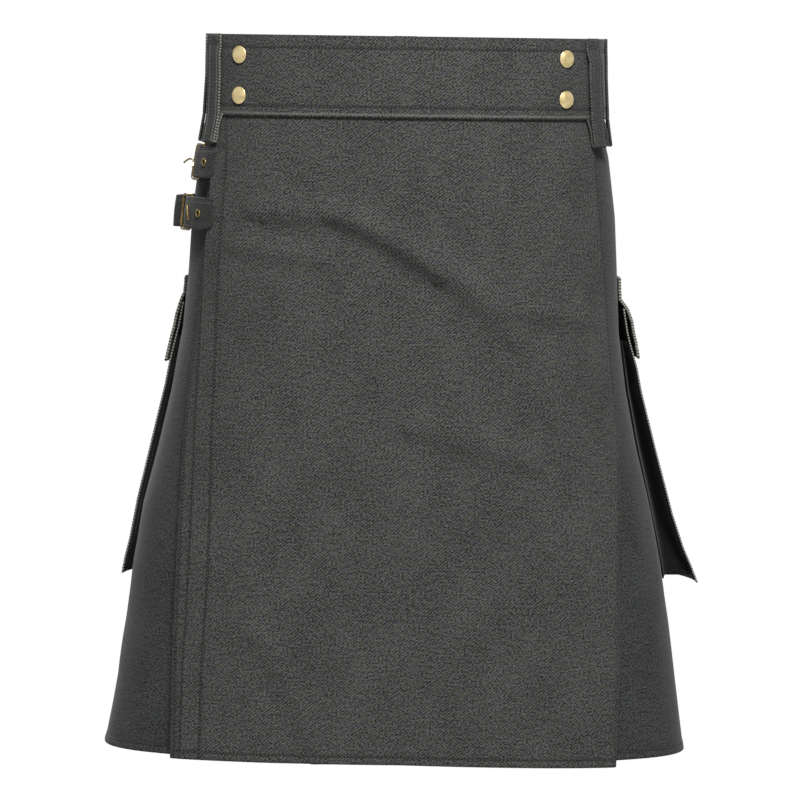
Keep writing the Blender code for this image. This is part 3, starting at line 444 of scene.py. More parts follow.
def sway(across, drop, seed, size=0.7):
    """Soft uneven lie of heavy cloth: five slanted sine waves 55 to 190 mm long, in mm of height."""
    draw = np.random.default_rng(seed)
    total = np.zeros(np.broadcast(across, drop).shape)
    for _ in range(5):
        span = draw.uniform(55, 190) * MM
        angle = draw.uniform(0, math.pi)
        phase = draw.uniform(0, 2 * math.pi)
        wave = (across * math.cos(angle) + drop * math.sin(angle)) / span
        total = total + np.sin(2 * math.pi * wave + phase) * draw.uniform(0.3, 1.0)
    return total * size / 2.2 * MM


HEM_STITCH = 6 * MM
EDGE_STITCH = 1.6 * MM


def hem_relief(places, drop):
    """A turned hem: one more layer of cloth below the stitches, drawn in at them, with puckers."""
    from_hem = LENGTH - drop
    step = 0.55 * MM * ease((HEM_STITCH + 1.2 * MM - from_hem) / (1.6 * MM))
    groove = -0.4 * MM * np.exp(-(((from_hem - HEM_STITCH) / (1.3 * MM)) ** 2))
    pucker = 0.22 * MM * np.sin(2 * math.pi * places / (9.5 * MM)) * np.exp(-((from_hem / (11 * MM)) ** 2))
    return step + groove + pucker


def open_share(drop):
    """How free the cloth hangs: 0 where it is sewn down at the hip, 1 at the hem."""
    return ease((drop - 60 * MM) / (LENGTH - 60 * MM))


# %% [markdown]
# ## The paths of the panels
# A path lists the places and levels of one panel on one ring, from one cut edge to the other. The
# over apron runs from its free hemmed edge at the viewer's left to the folded edge at the right
# and a little way back under it; the hip panels start hidden under that fold and end in the first
# pleat behind; the back is one long run of pleats.
# %% Panel paths
FRONT_STEPS = 112
FREE_HEM = 16.5 * MM
FREE_COLUMNS = np.array((0, 0.7, 1.5, 3, 5.5, 8.5, 11.5, 13.5, 14.8, 15.6, 16.2, 16.8, 17.4, 18.2, 19.5, 21.5)) * MM
FOLD_COLUMNS = np.array((0, 0.7, 1.4, 2.0, 2.6, 3.4, 4.6, 7, 11, 16, 22)) * MM


def front_places(start, end, start_columns, end_columns):
    """Places across the front: close columns at both ends, even ones between them."""
    middle = np.linspace(start + start_columns[-1], end - end_columns[-1], FRONT_STEPS + 2)[1:-1]
    return np.concatenate((start + start_columns, middle, end - end_columns[::-1]))


def apron_levels(ring):
    """Levels of the over and the under apron at their left and right corners."""
    left, right = front_fold(ring, LEFT), front_fold(ring, RIGHT)
    over = (2 * left.step + APRON_STEP, 2 * right.step)
    under = (2 * left.step, UNDER_EDGE_LEVEL)
    return over, under


def slanted(places, start, end, levels):
    """A level that runs straight from one value to another, held past both ends."""
    share = np.clip((places - start) / (end - start), 0.0, 1.0)
    return levels[0] + (levels[1] - levels[0]) * share


def free_place(ring):
    """Distance from the front centre to the over apron's free edge."""
    distance = column(EDGE_ROWS, EDGE_COLUMNS, "free_edge", ring.drop)
    return ring.reach_place(distance, apron_levels(ring)[0][0], LEFT)


def over_front(ring):
    """The over apron from its free edge to the right fold, flat."""
    left, right = front_fold(ring, LEFT), front_fold(ring, RIGHT)
    places = front_places(-free_place(ring), right.run[-1], FREE_COLUMNS, FOLD_COLUMNS)
    return places, slanted(places, -left.run[0], right.run[0], apron_levels(ring)[0])


def under_front(ring):
    """The under apron from the left fold to its hidden free edge, flat."""
    left = front_fold(ring, LEFT)
    end = ring.reach_place(UNDER_EDGE_REACH, UNDER_EDGE_LEVEL, RIGHT)
    knee = end - FRONT_UNDERLAP_TOP
    places = front_places(-left.run[-1], end, FOLD_COLUMNS, FOLD_COLUMNS)
    return places, slanted(places, -left.run[0], knee, apron_levels(ring)[1])


def over_path(ring):
    """Over apron with its creases, its hemmed free edge, its right fold and the run back."""
    places, levels = over_front(ring)
    across = ring.at(places, 0.0)[0]
    calm = ease((places - places[0]) / (30 * MM)) * ease((places[-1] - places) / (26 * MM))
    loose = ease((ring.drop - 62 * MM) / (110 * MM))
    lift = crease_push(FRONT_CREASES, across, ring.drop) * calm
    lift = lift + sway(across, ring.drop, 11) * calm * loose
    from_edge = places - places[0]
    hemmed = 0.6 * MM * ease((FREE_HEM + 1 * MM - from_edge) / (1.5 * MM))
    groove = -0.45 * MM * np.exp(-(((from_edge - FREE_HEM) / (1.4 * MM)) ** 2))
    stitched = -0.35 * MM * np.exp(-(((places[-1] - places - EDGE_STITCH) / (1.1 * MM)) ** 2))
    levels = levels + lift + hemmed + groove + stitched + hem_relief(places, ring.drop)
    right = front_fold(ring, RIGHT)
    return join((places, levels), right.outer_turn(), right.back_run())


def under_path(ring):
    """Under apron with its left fold, starting from the run under that fold."""
    left = front_fold(ring, LEFT)
    fold_places, fold_levels = join(left.outer_turn(), left.back_run())
    places, levels = under_front(ring)
    calm = ease((places - places[0]) / (40 * MM)) * ease((places[-1] - places) / (40 * MM))
    lift = sway(places, np.float64(ring.drop), 12, 0.5) * calm
    stitched = -0.35 * MM * np.exp(-(((places - places[0] - EDGE_STITCH) / (1.1 * MM)) ** 2))
    levels = levels + lift + stitched + hem_relief(places, ring.drop)
    return join((-fold_places[::-1], fold_levels[::-1]), (places, levels))


def hip_path(ring, side, seed):
    """Hip panel: hidden bend, hidden run, face, back fold and the run back under it."""
    front, back = front_fold(ring, side), back_folds(ring, side)[0]
    stops = np.linspace(front.edge - front.radius, back.run[0], SIDE_STEPS + 1)[1:-1]
    level = hip_level(ring, side, stops)
    across = ring.at(stops if side == RIGHT else -stops, 0.0)[0]
    calm = ease((stops - stops[0]) / (30 * MM)) * ease((stops[-1] - stops) / (30 * MM))
    lift = (sway(stops, np.float64(ring.drop), seed, 0.9) + crease_push(SIDE_CREASES, across, ring.drop)) * calm
    level = level + lift * open_share(ring.drop) + hem_relief(stops, ring.drop)
    hidden = (front.run, np.zeros(front.run.shape))
    outer = (back.run, np.full(back.run.shape, 2 * back.step) + hem_relief(back.run, ring.drop))
    return join(front.inner_turn(), hidden, (stops, level), outer, back.outer_turn(), back.back_run())


def right_hip_path(ring):
    """The right hip panel, front to back."""
    return hip_path(ring, RIGHT, 21)


def left_hip_path(ring):
    """The left hip panel, back to front, so that places still grow to the viewer's right."""
    places, levels = hip_path(ring, LEFT, 22)
    return -places[::-1], levels[::-1]


def half_back_path(ring, side, seed):
    """Half of the pleated back, from the hip panel's seam to the centre back."""
    folds = back_folds(ring, side)
    free = open_share(ring.drop)
    parts = []
    for number, (before, after) in enumerate(zip(folds, folds[1:])):
        stops = np.linspace(before.run[-1], after.run[0], BACK_FACE_STEPS + 1)[1:-1]
        share = (stops - before.edge) / (after.edge - after.underlap - before.edge)
        belly = 1.6 * MM * free * np.sin(math.pi * np.clip(share, 0, 1))
        uneven = sway(stops, np.float64(ring.drop), seed + number, 0.5) * np.sin(math.pi * np.clip(share, 0, 1))
        face = 2 * after.step * ease(share) + belly + uneven
        parts += [before.inner_turn(), (before.run, np.zeros(before.run.shape)),
                  (stops, face + hem_relief(stops, ring.drop)),
                  (after.run, 2 * after.step + hem_relief(after.run, ring.drop)),
                  after.outer_turn(), (after.run[:0:-1], np.full(after.run.size - 1, after.step))]
    last = folds[-1]
    parts += [last.inner_turn(), (last.run[:-1], np.zeros(last.run.size - 1))]
    return join(*parts)


def back_path(ring):
    """The pleated back from the right hip round to the left hip."""
    right_places, right_levels = half_back_path(ring, RIGHT, 31)
    left_places, left_levels = half_back_path(ring, LEFT, 41)
    return join((right_places, right_levels), (ring.length - left_places[::-1], left_levels[::-1]))


# %% [markdown]
# ## Denim
# Denim is a cotton twill: dark warp threads run up and down, and lighter weft threads show between
# them along slanted lines. This one is dyed charcoal, and its threads are a little uneven, so it
# looks heathered from a step away, with faint blue and brown flecks. Where cloth is folded and
# stitched, the dye rubs off the ridge and the pale weft shows as a row of dots. Cotton has no
# gloss, only a faint fuzz. Its real threads are 0.4 mm apart, too fine for the render, so the
# twill lines are drawn about 2.5 mm apart, as coarse as the photo shows them, with thicker weft
# yarns as faint level streaks. The pockets' gussets are drawn nearly black.
# %% Denim material
TWILL_ACROSS = 3.3 * MM
TWILL_DOWN = 2.7 * MM
ROPE = 2.6 * MM


def weighted(tree, base, *terms):
    """base + sum of weight * output."""
    total = base
    for output, weight in terms:
        total = add(tree, "ShaderNodeMath", {"operation": "MULTIPLY_ADD"},
                    {0: output, 1: weight, 2: total}).outputs[0]
    return total


def noise(tree, vector, across, down, detail=1.0, offset=0.0):
    """Noise whose spots are so wide and so tall, in metres on the cloth."""
    size = add(tree, "ShaderNodeMapping", None,
               {"Vector": vector, "Scale": (1 / across, 1 / down, 1.0), "Location": (offset, offset, offset)})
    return add(tree, "ShaderNodeTexNoise", None,
               {"Vector": size.outputs["Vector"], "Scale": 1.0, "Detail": detail}).outputs["Fac"]


def slanted_wave(tree, vector, across, down, slip=0.0):
    """sin(2 pi (u/across + v/down) + slip)."""
    along = add(tree, "ShaderNodeVectorMath", {"operation": "DOT_PRODUCT"},
                {0: vector, 1: (2 * math.pi / across, 2 * math.pi / down, 0.0)})
    moved = weighted(tree, along.outputs["Value"], (slip, 1.0)) if slip else along.outputs["Value"]
    return add(tree, "ShaderNodeMath", {"operation": "SINE"}, {0: moved}).outputs[0]


def denim_cloth(name, dark, light, rubbed):
    """Share of pale weft = 0.5 + twill + thread, slub and patch noise; it mixes dark and light."""
    made, tree, shader = new_material(name)
    cloth = add(tree, "ShaderNodeUVMap", {"uv_map": "cloth"}).outputs["UV"]
    wear = add(tree, "ShaderNodeAttribute", {"attribute_name": "wear"}).outputs["Fac"]
    wobble = weighted(tree, 0.0, (noise(tree, cloth, 6 * MM, 6 * MM), 4.5))
    twill = slanted_wave(tree, cloth, TWILL_ACROSS, -TWILL_DOWN, wobble)
    threads = noise(tree, cloth, 1.75 * MM, 1.5 * MM, 1.0)
    slubs = noise(tree, cloth, 14 * MM, 1.9 * MM, 1.0, 5.0)
    patches = noise(tree, cloth, 40 * MM, 55 * MM, 2.0)
    share = weighted(tree, -1.15, (twill, 0.22), (threads, 2.3), (slubs, 0.55), (patches, 0.35))
    share = add(tree, "ShaderNodeClamp", None, {"Value": share}).outputs[0]
    body = add(tree, "ShaderNodeMix", {"data_type": "RGBA"}, {"Factor": share, 6: linear(dark), 7: linear(light)})
    hue = add(tree, "ShaderNodeValToRGB", None, {"Fac": noise(tree, cloth, 2.6 * MM, 4 * MM, 1.0, 9.0)})
    hue.color_ramp.elements[0].position, hue.color_ramp.elements[0].color = 0.3, linear("#d3def8")
    hue.color_ramp.elements[1].position, hue.color_ramp.elements[1].color = 0.7, linear("#faeccb")
    hue.color_ramp.elements.new(0.5).color = (1.0, 1.0, 1.0, 1.0)
    tinted = add(tree, "ShaderNodeMix", {"data_type": "RGBA", "blend_type": "MULTIPLY"},
                 {"Factor": 0.6, 6: body.outputs[2], 7: hue.outputs["Color"]})
    rope = weighted(tree, 0.45, (slanted_wave(tree, cloth, ROPE, ROPE), 0.55))
    rub = add(tree, "ShaderNodeMath", {"operation": "MULTIPLY", "use_clamp": True}, {0: rope, 1: wear})
    worn = add(tree, "ShaderNodeMix", {"data_type": "RGBA"},
               {"Factor": rub.outputs[0], 6: tinted.outputs[2], 7: linear(rubbed)})
    # Wear below zero is painted shade: the colour turns towards near-black #090909 along stitch grooves, knife folds
    # and shaded edges. Wear above zero is rubbed weft.
    painted_shade = add(tree, "ShaderNodeMath", {"operation": "MULTIPLY", "use_clamp": True}, {0: -0.85, 1: wear})
    colour = add(tree, "ShaderNodeMix", {"data_type": "RGBA"},
                 {"Factor": painted_shade.outputs[0], 6: worn.outputs[2], 7: linear("#090909")})
    tree.links.new(colour.outputs[2], shader.inputs["Base Color"])
    bump = add(tree, "ShaderNodeBump", None,
               {"Height": weighted(tree, 0.0, (twill, 0.3), (threads, 1.0)), "Strength": 0.3, "Distance": 0.2 * MM})
    tree.links.new(bump.outputs["Normal"], shader.inputs["Normal"])
    shader.inputs["Roughness"].default_value = 0.95
    shader.inputs["Specular IOR Level"].default_value = 0.12
    shader.inputs["Sheen Weight"].default_value = 0.05
    return made


denim = denim_cloth("charcoal_denim_twill", "#121313", "#4b4c4a", "#777671")
# The trim copy is darker. On the hip panels, pockets and loops, which turn away from the light, that darkness is
# painted shade. Its paler rubbed colour is wear.
trim_denim_shaded = denim_cloth("charcoal_denim_trim", "#0e0f0f", "#3f4140", "#918f87")
strap_denim = denim_cloth("charcoal_denim_strap", "#0b0c0c", "#373736", "#6a6863")
gusset_denim = denim_cloth("black_denim_gusset", "#040404", "#0e0e0e", "#2a2a29")

# %% [markdown]
# ## Thread
# The seams are sewn with a heavy black core-spun polyester thread, eight stitches to the inch. A
# sewn thread has a soft sheen, so a row of stitches reads as a dark line with small glints.
# %% Thread material
thread, tree, shader = new_material("black_polyester_thread")
spot = add(tree, "ShaderNodeTexCoord")
twist = add(tree, "ShaderNodeTexNoise", None,
            {"Vector": spot.outputs["Object"], "Scale": 1 / (2.2 * MM), "Detail": 1.0})
ply = add(tree, "ShaderNodeMix", {"data_type": "RGBA"},
          {"Factor": twist.outputs["Fac"], 6: linear("#0d0d0d"), 7: linear("#2b2b2a")})
tree.links.new(ply.outputs[2], shader.inputs["Base Color"])
shader.inputs["Roughness"].default_value = 0.5


# %% [markdown]
# ## From a grid to a cloth wall
# A cloth piece starts as its middle surface, a grid of points. Moving the grid half a thickness to
# each side gives its two faces, and half circles round the border close it, as a folded edge does.
# The border carries the attribute that shows the rubbed weft where it is above zero and a line of
# painted shade where it is below zero, and the piece's own UV map measures the cloth in metres, so
# the weave keeps its real size and follows every fold.
# %% Cloth walls
RIM_STEPS = 4
pieces = {}


def unit(vectors):
    """Vectors scaled to length 1."""
    return vectors / np.maximum(np.linalg.norm(vectors, axis=-1, keepdims=True), 1e-12)


def lay_uv(mesh, uv):
    """Give the mesh a UV map named cloth from one (u, v) for each vertex."""
    layer = mesh.uv_layers.new(name="cloth")
    corner = np.empty(len(mesh.loops), dtype=np.int32)
    mesh.loops.foreach_get("vertex_index", corner)
    layer.data.foreach_set("uv", uv[corner].astype(np.float32).ravel())


def place_piece(name, points, faces, material, wear=None, uv=None):
    """Put finished arrays into a smooth mesh object that rides on the part's one body."""
    mesh = bpy.data.meshes.new(name)
    mesh.vertices.add(len(points))
    mesh.vertices.foreach_set("co", points.astype(np.float32).ravel())
    sizes = np.array([len(face) for face in faces]) if isinstance(faces, list) else np.full(len(faces), faces.shape[1])
    corners = np.concatenate(faces) if isinstance(faces, list) else faces.ravel()
    mesh.loops.add(len(corners))
    mesh.loops.foreach_set("vertex_index", corners.astype(np.int32))
    mesh.polygons.add(len(sizes))
    mesh.polygons.foreach_set("loop_start", np.concatenate(([0], np.cumsum(sizes)[:-1])).astype(np.int32))
    mesh.polygons.foreach_set("loop_total", sizes.astype(np.int32))
    mesh.update(calc_edges=True)
    mesh.shade_smooth()
    if wear is not None:
        mesh.attributes.new("wear", "FLOAT", "POINT").data.foreach_set("value", wear.astype(np.float32))
    if uv is not None:
        lay_uv(mesh, uv)
    mesh.materials.append(material)
    piece = bpy.data.objects.new(name, mesh)
    bpy.context.scene.collection.objects.link(piece)
    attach(piece, BODY)
    return piece


def cloth_wall(name, middle, thickness, material, replaces=(), wear=None, rim_wear_and_shade=1.0):
    """Faces = middle +- normal t/2; rim = middle + t/2 (normal cos a + out sin a), a from 0 to pi."""
    rows, cols = middle.shape[:2]
    down, across = np.gradient(middle, axis=0), np.gradient(middle, axis=1)
    normal = unit(np.cross(down, across))
    half = thickness / 2
    index = np.arange(rows * cols).reshape(rows, cols)
    quads = np.stack((index[:-1, :-1], index[1:, :-1], index[1:, 1:], index[:-1, 1:]), axis=-1).reshape(-1, 4)
    border = np.concatenate((index[0, :-1], index[:-1, -1], index[-1, :0:-1], index[:0:-1, 0]))
    out = np.zeros_like(middle)
    out[0] -= unit(down[0])
    out[-1] += unit(down[-1])
    out[:, 0] -= unit(across[:, 0])
    out[:, -1] += unit(across[:, -1])
    flat_middle, flat_normal, flat_out = (a.reshape(-1, 3) for a in (middle, normal, out))
    flat_out = unit(flat_out)
    angles = np.linspace(0.0, math.pi, RIM_STEPS + 1)[1:-1]
    rim = [flat_middle[border] + half * (flat_normal[border] * math.cos(a) + flat_out[border] * math.sin(a))
           for a in angles]
    points = np.concatenate([flat_middle + flat_normal * half, flat_middle - flat_normal * half] + rim)
    count, length = rows * cols, len(border)
    loops = [border] + [2 * count + k * length + np.arange(length) for k in range(len(rim))] + [border + count]
    rims = [np.stack((a, np.roll(a, -1), np.roll(b, -1), b), axis=-1) for a, b in zip(loops, loops[1:])]
    faces = np.concatenate([quads, quads[:, ::-1] + count] + rims)
    steps = np.linalg.norm(np.diff(middle, axis=1), axis=-1)
    walked = np.concatenate((np.zeros((rows, 1)), np.cumsum(steps, axis=1)), axis=1)
    u = walked - walked[:, cols // 2][:, None]
    falls = np.linalg.norm(np.diff(middle, axis=0), axis=-1).mean(axis=1)
    fallen = np.concatenate(([0.0], np.cumsum(falls)))
    v = np.broadcast_to(-fallen[:, None], (rows, cols))
    uv = np.stack((u, v), axis=-1).reshape(-1, 2)
    uv = np.concatenate([uv, uv + 0.01] + [uv[border]] * len(rim))
    rubbed = np.zeros(count) if wear is None else np.broadcast_to(wear, (rows, cols)).ravel().copy()
    # A rim value below zero is painted shade: a dark line along the edge, where a folded edge casts its shadow.
    rubbed[border] = 0.6 * rim_wear_and_shade if rim_wear_and_shade < 0 else np.maximum(rubbed[border], 0.6 * rim_wear_and_shade)
    rubbed = np.concatenate([rubbed, np.zeros(count), np.full(length * len(rim), rim_wear_and_shade)])
    piece = place_piece(name, points, faces, material, rubbed, uv)
    if replaces:
        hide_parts(*replaces)
    pieces[name] = {"face": middle + normal * half, "normal": normal, "walked": walked, "fallen": fallen,
                    "shade": np.zeros((rows, cols)), "mesh": piece.data}
    print(name, len(faces) * 2, "triangles")
    return piece


def plan_grid(path, drops, lifts=(0.0, 0.0, 0.0)):
    """Grid of points: one row for each drop, from the path of that ring, the hem lifted a little."""
    rows = []
    for drop in drops:
        ring = ring_at(drop)
        places, levels = path(ring)
        x, y = ring.at(places, levels)
        share = (places - places.min()) / (places.max() - places.min())
        fade = max(0.0, (drop - LIFT_FROM) / (LENGTH - LIFT_FROM))
        height = ring.height + fade * np.interp(share, (0.0, 0.5, 1.0), np.array(lifts) * MM)
        rows.append(np.stack((x, y, height), axis=-1))
    return np.stack(rows)


def cut_size(path, drops):
    """Width at its widest, length and area of the flat cut that a wall was bent from."""
    widths = []
    for drop in drops:
        ring = ring_at(drop)
        x, y = ring.at(*path(ring))
        widths.append(np.hypot(np.diff(x), np.diff(y)).sum())
    length = drops[-1] - drops[0]
    area = float(np.trapezoid(widths, drops)) if hasattr(np, "trapezoid") else float(np.trapz(widths, drops))
    return max(widths), length, min(area, max(widths) * length)


LIFT_FROM = 390 * MM

# %% [markdown]
# ## The five panels of the skirt
# Each panel is one grid, 5 mm from row to row, with close rows at the hem where the turned edge
# and its stitch line are only millimetres high. Each sharp fold is drawn with a dark line of painted
# shade, and the hip panels take the darker trim cloth, which paints in the shade of the sides.
# %% Skirt panels
PANEL_TOP = 58 * MM
HEM_ROWS = (591, 596, 600, 602, 603.2, 604, 604.8, 606, 608, 610)
PANEL_DROPS = np.concatenate((np.linspace(PANEL_TOP, 587 * MM, 106), np.array(HEM_ROWS) * MM))
PANEL_ROWS = (
    ("over_apron", over_path, (4.0, 4.0, 0.5)),
    ("under_apron", under_path, (3.0, 4.5, 5.0)),
    ("side_panel_right", right_hip_path, (4.5, 5.5, 6.0)),
    ("side_panel_left", left_hip_path, (6.0, 5.5, 4.5)),
    ("pleated_back", back_path, (6.0, 4.5, 6.0)),
)


def fold_painted_shade(middle):
    """Painted shade line on each knife fold: the share of a half turn that the path makes within 4 mm."""
    row = middle[len(middle) // 2]
    step = unit(np.diff(row, axis=0))
    turned = np.concatenate(([0.0], np.arccos(np.clip((step[1:] * step[:-1]).sum(axis=-1), -1, 1)), [0.0]))
    near = np.convolve(turned, np.ones(9), mode="same") / math.pi
    return -0.8 * np.clip(near - 0.35, 0, 0.5)[None, :]


for name, path, lifts in PANEL_ROWS:
    grid = plan_grid(path, PANEL_DROPS, lifts)
    # The hip panels take the darker trim copy as painted shade.
    panel_denim = trim_denim_shaded if "side" in name else denim
    # Each panel's edges get a line of painted shade.
    panel = cloth_wall("denim_" + name, grid, CLOTH, panel_denim, (name,), fold_painted_shade(grid), -0.5)
    width, length, area = cut_size(path, PANEL_DROPS)
    print(name, "cut", round(width, 3), "x", round(length, 3), "m")

# %% [markdown]
# ## The waistband
# The band is two layers of denim folded at both edges and stitched along them. It is cut in three
# lengths: one on each apron, so that the wrap can close, and one round the hips and back over the
# sewn pleats. The stitch rows sink into it, and the band swells a little between them.
# %% Waistband
BAND_LIFT = CLOTH / 2 + LAY_GAP + BAND_CLOTH / 2
BACK_BAND_STEPS = 260
BAND_STITCHES = (9.5 * MM, 58.5 * MM)
BAND_FOOT = np.array((3.4, 2.8, 2.3, 1.8, 1.3, 0.8, 0.4, 0.0)) * MM
BAND_DROPS = np.concatenate((np.linspace(0.0, BAND_HEIGHT - 4.4 * MM, 46), BAND_HEIGHT - BAND_FOOT))
BAND_WEAR = 0.65 * np.exp(-(((BAND_HEIGHT - BAND_DROPS - 1.5 * MM) / (0.8 * MM)) ** 2))[:, None]


def band_relief(places, drop):
    """Each stitch row sinks 0.4 mm; between rows the band swells; puckers every 6.4 mm."""
    relief = 0.25 * math.sin(math.pi * min(max((drop - BAND_STITCHES[0]) / (49 * MM), 0.0), 1.0))
    for row in BAND_STITCHES:
        gap = (drop - row) / MM
        relief = relief - 0.4 * math.exp(-((gap / 1.2) ** 2))
        relief = relief + 0.1 * np.sin(2 * math.pi * places / (6.4 * MM)) * math.exp(-((gap / 3.5) ** 2))
    return relief * MM


def over_band_path(ring):
    """Waistband on the over apron."""
    places, levels = over_front(ring)
    places[-1] = front_fold(ring, RIGHT).edge
    return places, levels + BAND_LIFT + band_relief(places, ring.drop)


def under_band_path(ring):
    """Waistband on the under apron."""
    places, levels = under_front(ring)
    places[0] = -front_fold(ring, LEFT).edge
    return places, levels + BAND_LIFT


def back_band_path(ring):
    """Waistband round the hips and the back, over the stitched pleats."""
    start = front_fold(ring, RIGHT).edge + SEAM_GAP
    end = ring.length - front_fold(ring, LEFT).edge - SEAM_GAP
    places = np.linspace(start, end, BACK_BAND_STEPS + 1)
    return places, np.full(places.shape, 2 * SEWN_STEP + BAND_LIFT) + band_relief(places, ring.drop)


for name, path in (("waistband_front", over_band_path), ("waistband_under", under_band_path),
                   ("waistband_back", back_band_path)):
    # The band's edges carry a line of painted shade; the pale row just above its foot is wear.
    band = cloth_wall("denim_" + name, plan_grid(path, BAND_DROPS), BAND_CLOTH, denim, (name,), BAND_WEAR, -0.4)
    width, length, area = cut_size(path, BAND_DROPS)

# %% [markdown]
# ## Belt loops
# A loop is a strip sewn down at the band's top edge. It hangs over the band, folds under at its
# foot and is caught in the seam below the band. Its profile is one bent line from the side; the
# strip is that line swept across 20 mm.
# %% Belt loops
LOOP_WIDTH = 20 * MM
LOOP_CLOTH = 1.8 * MM
LOOP_TOP = -0.6 * MM
LOOP_BOTTOM = 89.5 * MM
LOOP_LAY = 0.8 * MM
LOOP_FOLD = 0.35 * MM
LOOP_TOUCH = BAND_HEIGHT + SEAM_GAP
LOOP_LEFT_REACH = 151.5 * MM
LOOP_BEHIND_FOLD = -3 * MM
LOOP_BEFORE_LEFT_SIDE = 1 * MM
LOOP_BEHIND_RIGHT_SIDE = 6 * MM
LOOP_STAND_OFFS = {
    "belt_loop_front_left": 1.6 * MM,
    "belt_loop_front_right": 3.0 * MM,
    "belt_loop_side_left": 0.6 * MM,
    "belt_loop_side_right": 0.6 * MM,
    "belt_loop_back": 2.6 * MM,
}

# Seen from the front, the left loop hangs straighter than the flaring cloth under it.
LOOP_LEANS = {
    "belt_loop_front_left": (-1.7 * MM, 0.0885),
    "belt_loop_side_left": (4.0 * MM, 0.0),
    "belt_loop_side_right": (-5.0 * MM, 0.0),
}
STRIP_COLUMNS = np.array((0, 0.6, 1.2, 1.8, 2.4, 2.9, 3.4, 4.0, 5.2, 7.0, 9.0)) / 20
TRIM_STITCH = 1.8 * MM
TRIM_RIDGE = 3.3 * MM


def strip_offsets(width):
    """Offsets across a strip from -width/2 to width/2, close together at its stitched edges."""
    half = -0.5 + STRIP_COLUMNS
    return width * np.concatenate((half, [0.0], -half[::-1]))


def edge_groove(offsets, width):
    """A strip sinks 0.35 mm at the stitch row just inside each edge."""
    from_edge = width / 2 - np.abs(offsets)
    return -0.35 * MM * np.exp(-(((from_edge - TRIM_STITCH) / (0.8 * MM)) ** 2))


def ridge_wear(from_edge):
    """The ridge inside a stitch row rubs pale: a bell curve 0.7 mm wide."""
    return 0.85 * np.exp(-(((from_edge - TRIM_RIDGE) / (0.7 * MM)) ** 2))


def loop_profile(band_face, panel_face, stand_off):
    """Middle line of a belt loop as (level, drop): under the band, round the fold, up to the top."""
    inner = panel_face + LOOP_LAY + LOOP_CLOTH / 2
    outer = band_face + stand_off + LOOP_CLOTH / 2
    sewn = band_face + LAY_GAP + LOOP_CLOTH / 2
    radius = LOOP_CLOTH / 2 + LOOP_FOLD
    turn = np.linspace(0.0, math.pi, 13)
    bend_levels = inner + radius - radius * np.cos(turn)
    bend_drops = LOOP_BOTTOM - radius + radius * np.sin(turn)
    front_drops = np.linspace(80 * MM, LOOP_TOP, 42)
    front_levels = np.interp(front_drops, (LOOP_TOP, 9 * MM, 18 * MM, 64 * MM, 88 * MM),
                             (sewn, sewn, outer, outer, bend_levels[-1]))
    back_drops = np.linspace(LOOP_TOUCH, bend_drops[0], 10)[:-1]
    slack = 1.1 * MM * np.sin(np.linspace(0.0, math.pi, 9))
    levels = np.concatenate((inner + slack, bend_levels, front_levels))
    drops = np.concatenate((back_drops, bend_drops, front_drops))
    return levels[::-1], drops[::-1]


def ribbon(name, place, levels, drops, width):
    """Grid of a strip that runs down at one place: middle line of the rings' points, swept across."""
    side = RIGHT if place > 0 else LEFT
    middle = ring_at(BAND_HEIGHT)
    base = np.array(middle.at(place, 0.0))
    out = middle.outward(place)
    aside = np.array((-out[1], out[0]))
    spots = np.array([ring_at(max(drop, 0.0)).at(
        place * ring_at(max(drop, 0.0)).half[side] / middle.half[side], level)
        for level, drop in zip(levels, drops)]) - base
    shift, lean = LOOP_LEANS.get(name, (0.0, 0.0))
    lift, slide = spots @ out, spots @ aside + shift + lean * drops
    across = strip_offsets(width)
    sink = edge_groove(across, width)
    plan = base + (lift[:, None, None] + sink[None, :, None]) * out
    plan = plan + (slide[:, None, None] + across[None, :, None]) * aside
    height = np.broadcast_to((WAIST_TOP - drops)[:, None, None], plan.shape[:2] + (1,))
    return np.concatenate((plan, height), axis=-1)


top_ring, foot_ring = ring_at(BAND_HEIGHT), ring_at(LOOP_BOTTOM)
over_level = apron_levels(top_ring)[0][0]
LOOP_PLACES = {
    "belt_loop_front_left": -(top_ring.reach_place(LOOP_LEFT_REACH, over_level, LEFT) + LOOP_WIDTH / 2),
    "belt_loop_front_right": front_fold(top_ring, RIGHT).edge + LOOP_BEHIND_FOLD,
    "belt_loop_side_left": -(top_ring.side_place(LEFT) - LOOP_BEFORE_LEFT_SIDE),
    "belt_loop_side_right": top_ring.side_place(RIGHT) + LOOP_BEHIND_RIGHT_SIDE,
    "belt_loop_back": top_ring.half[RIGHT],
}
for name, place in LOOP_PLACES.items():
    band_level = over_level if name == "belt_loop_front_left" else 2 * SEWN_STEP
    panel_level = band_level
    if "side" in name:
        near = abs(place) + np.array((-0.5, 0.0, 0.5)) * LOOP_WIDTH
        panel_level = float(hip_level(foot_ring, RIGHT if place > 0 else LEFT, near).max())
    levels, drops = loop_profile(band_level + BAND_LIFT + BAND_CLOTH / 2, panel_level + CLOTH / 2,
                                 LOOP_STAND_OFFS[name])
    grid = ribbon(name, place, levels, drops, LOOP_WIDTH)
    worn = ridge_wear(LOOP_WIDTH / 2 - np.abs(strip_offsets(LOOP_WIDTH)))[None, :]
    rubbing = 1.0 if name.endswith("left") else 0.35
    loop = cloth_wall("denim_" + name, grid, LOOP_CLOTH, trim_denim_shaded, (name,), rubbing * worn, 0.5 * rubbing)

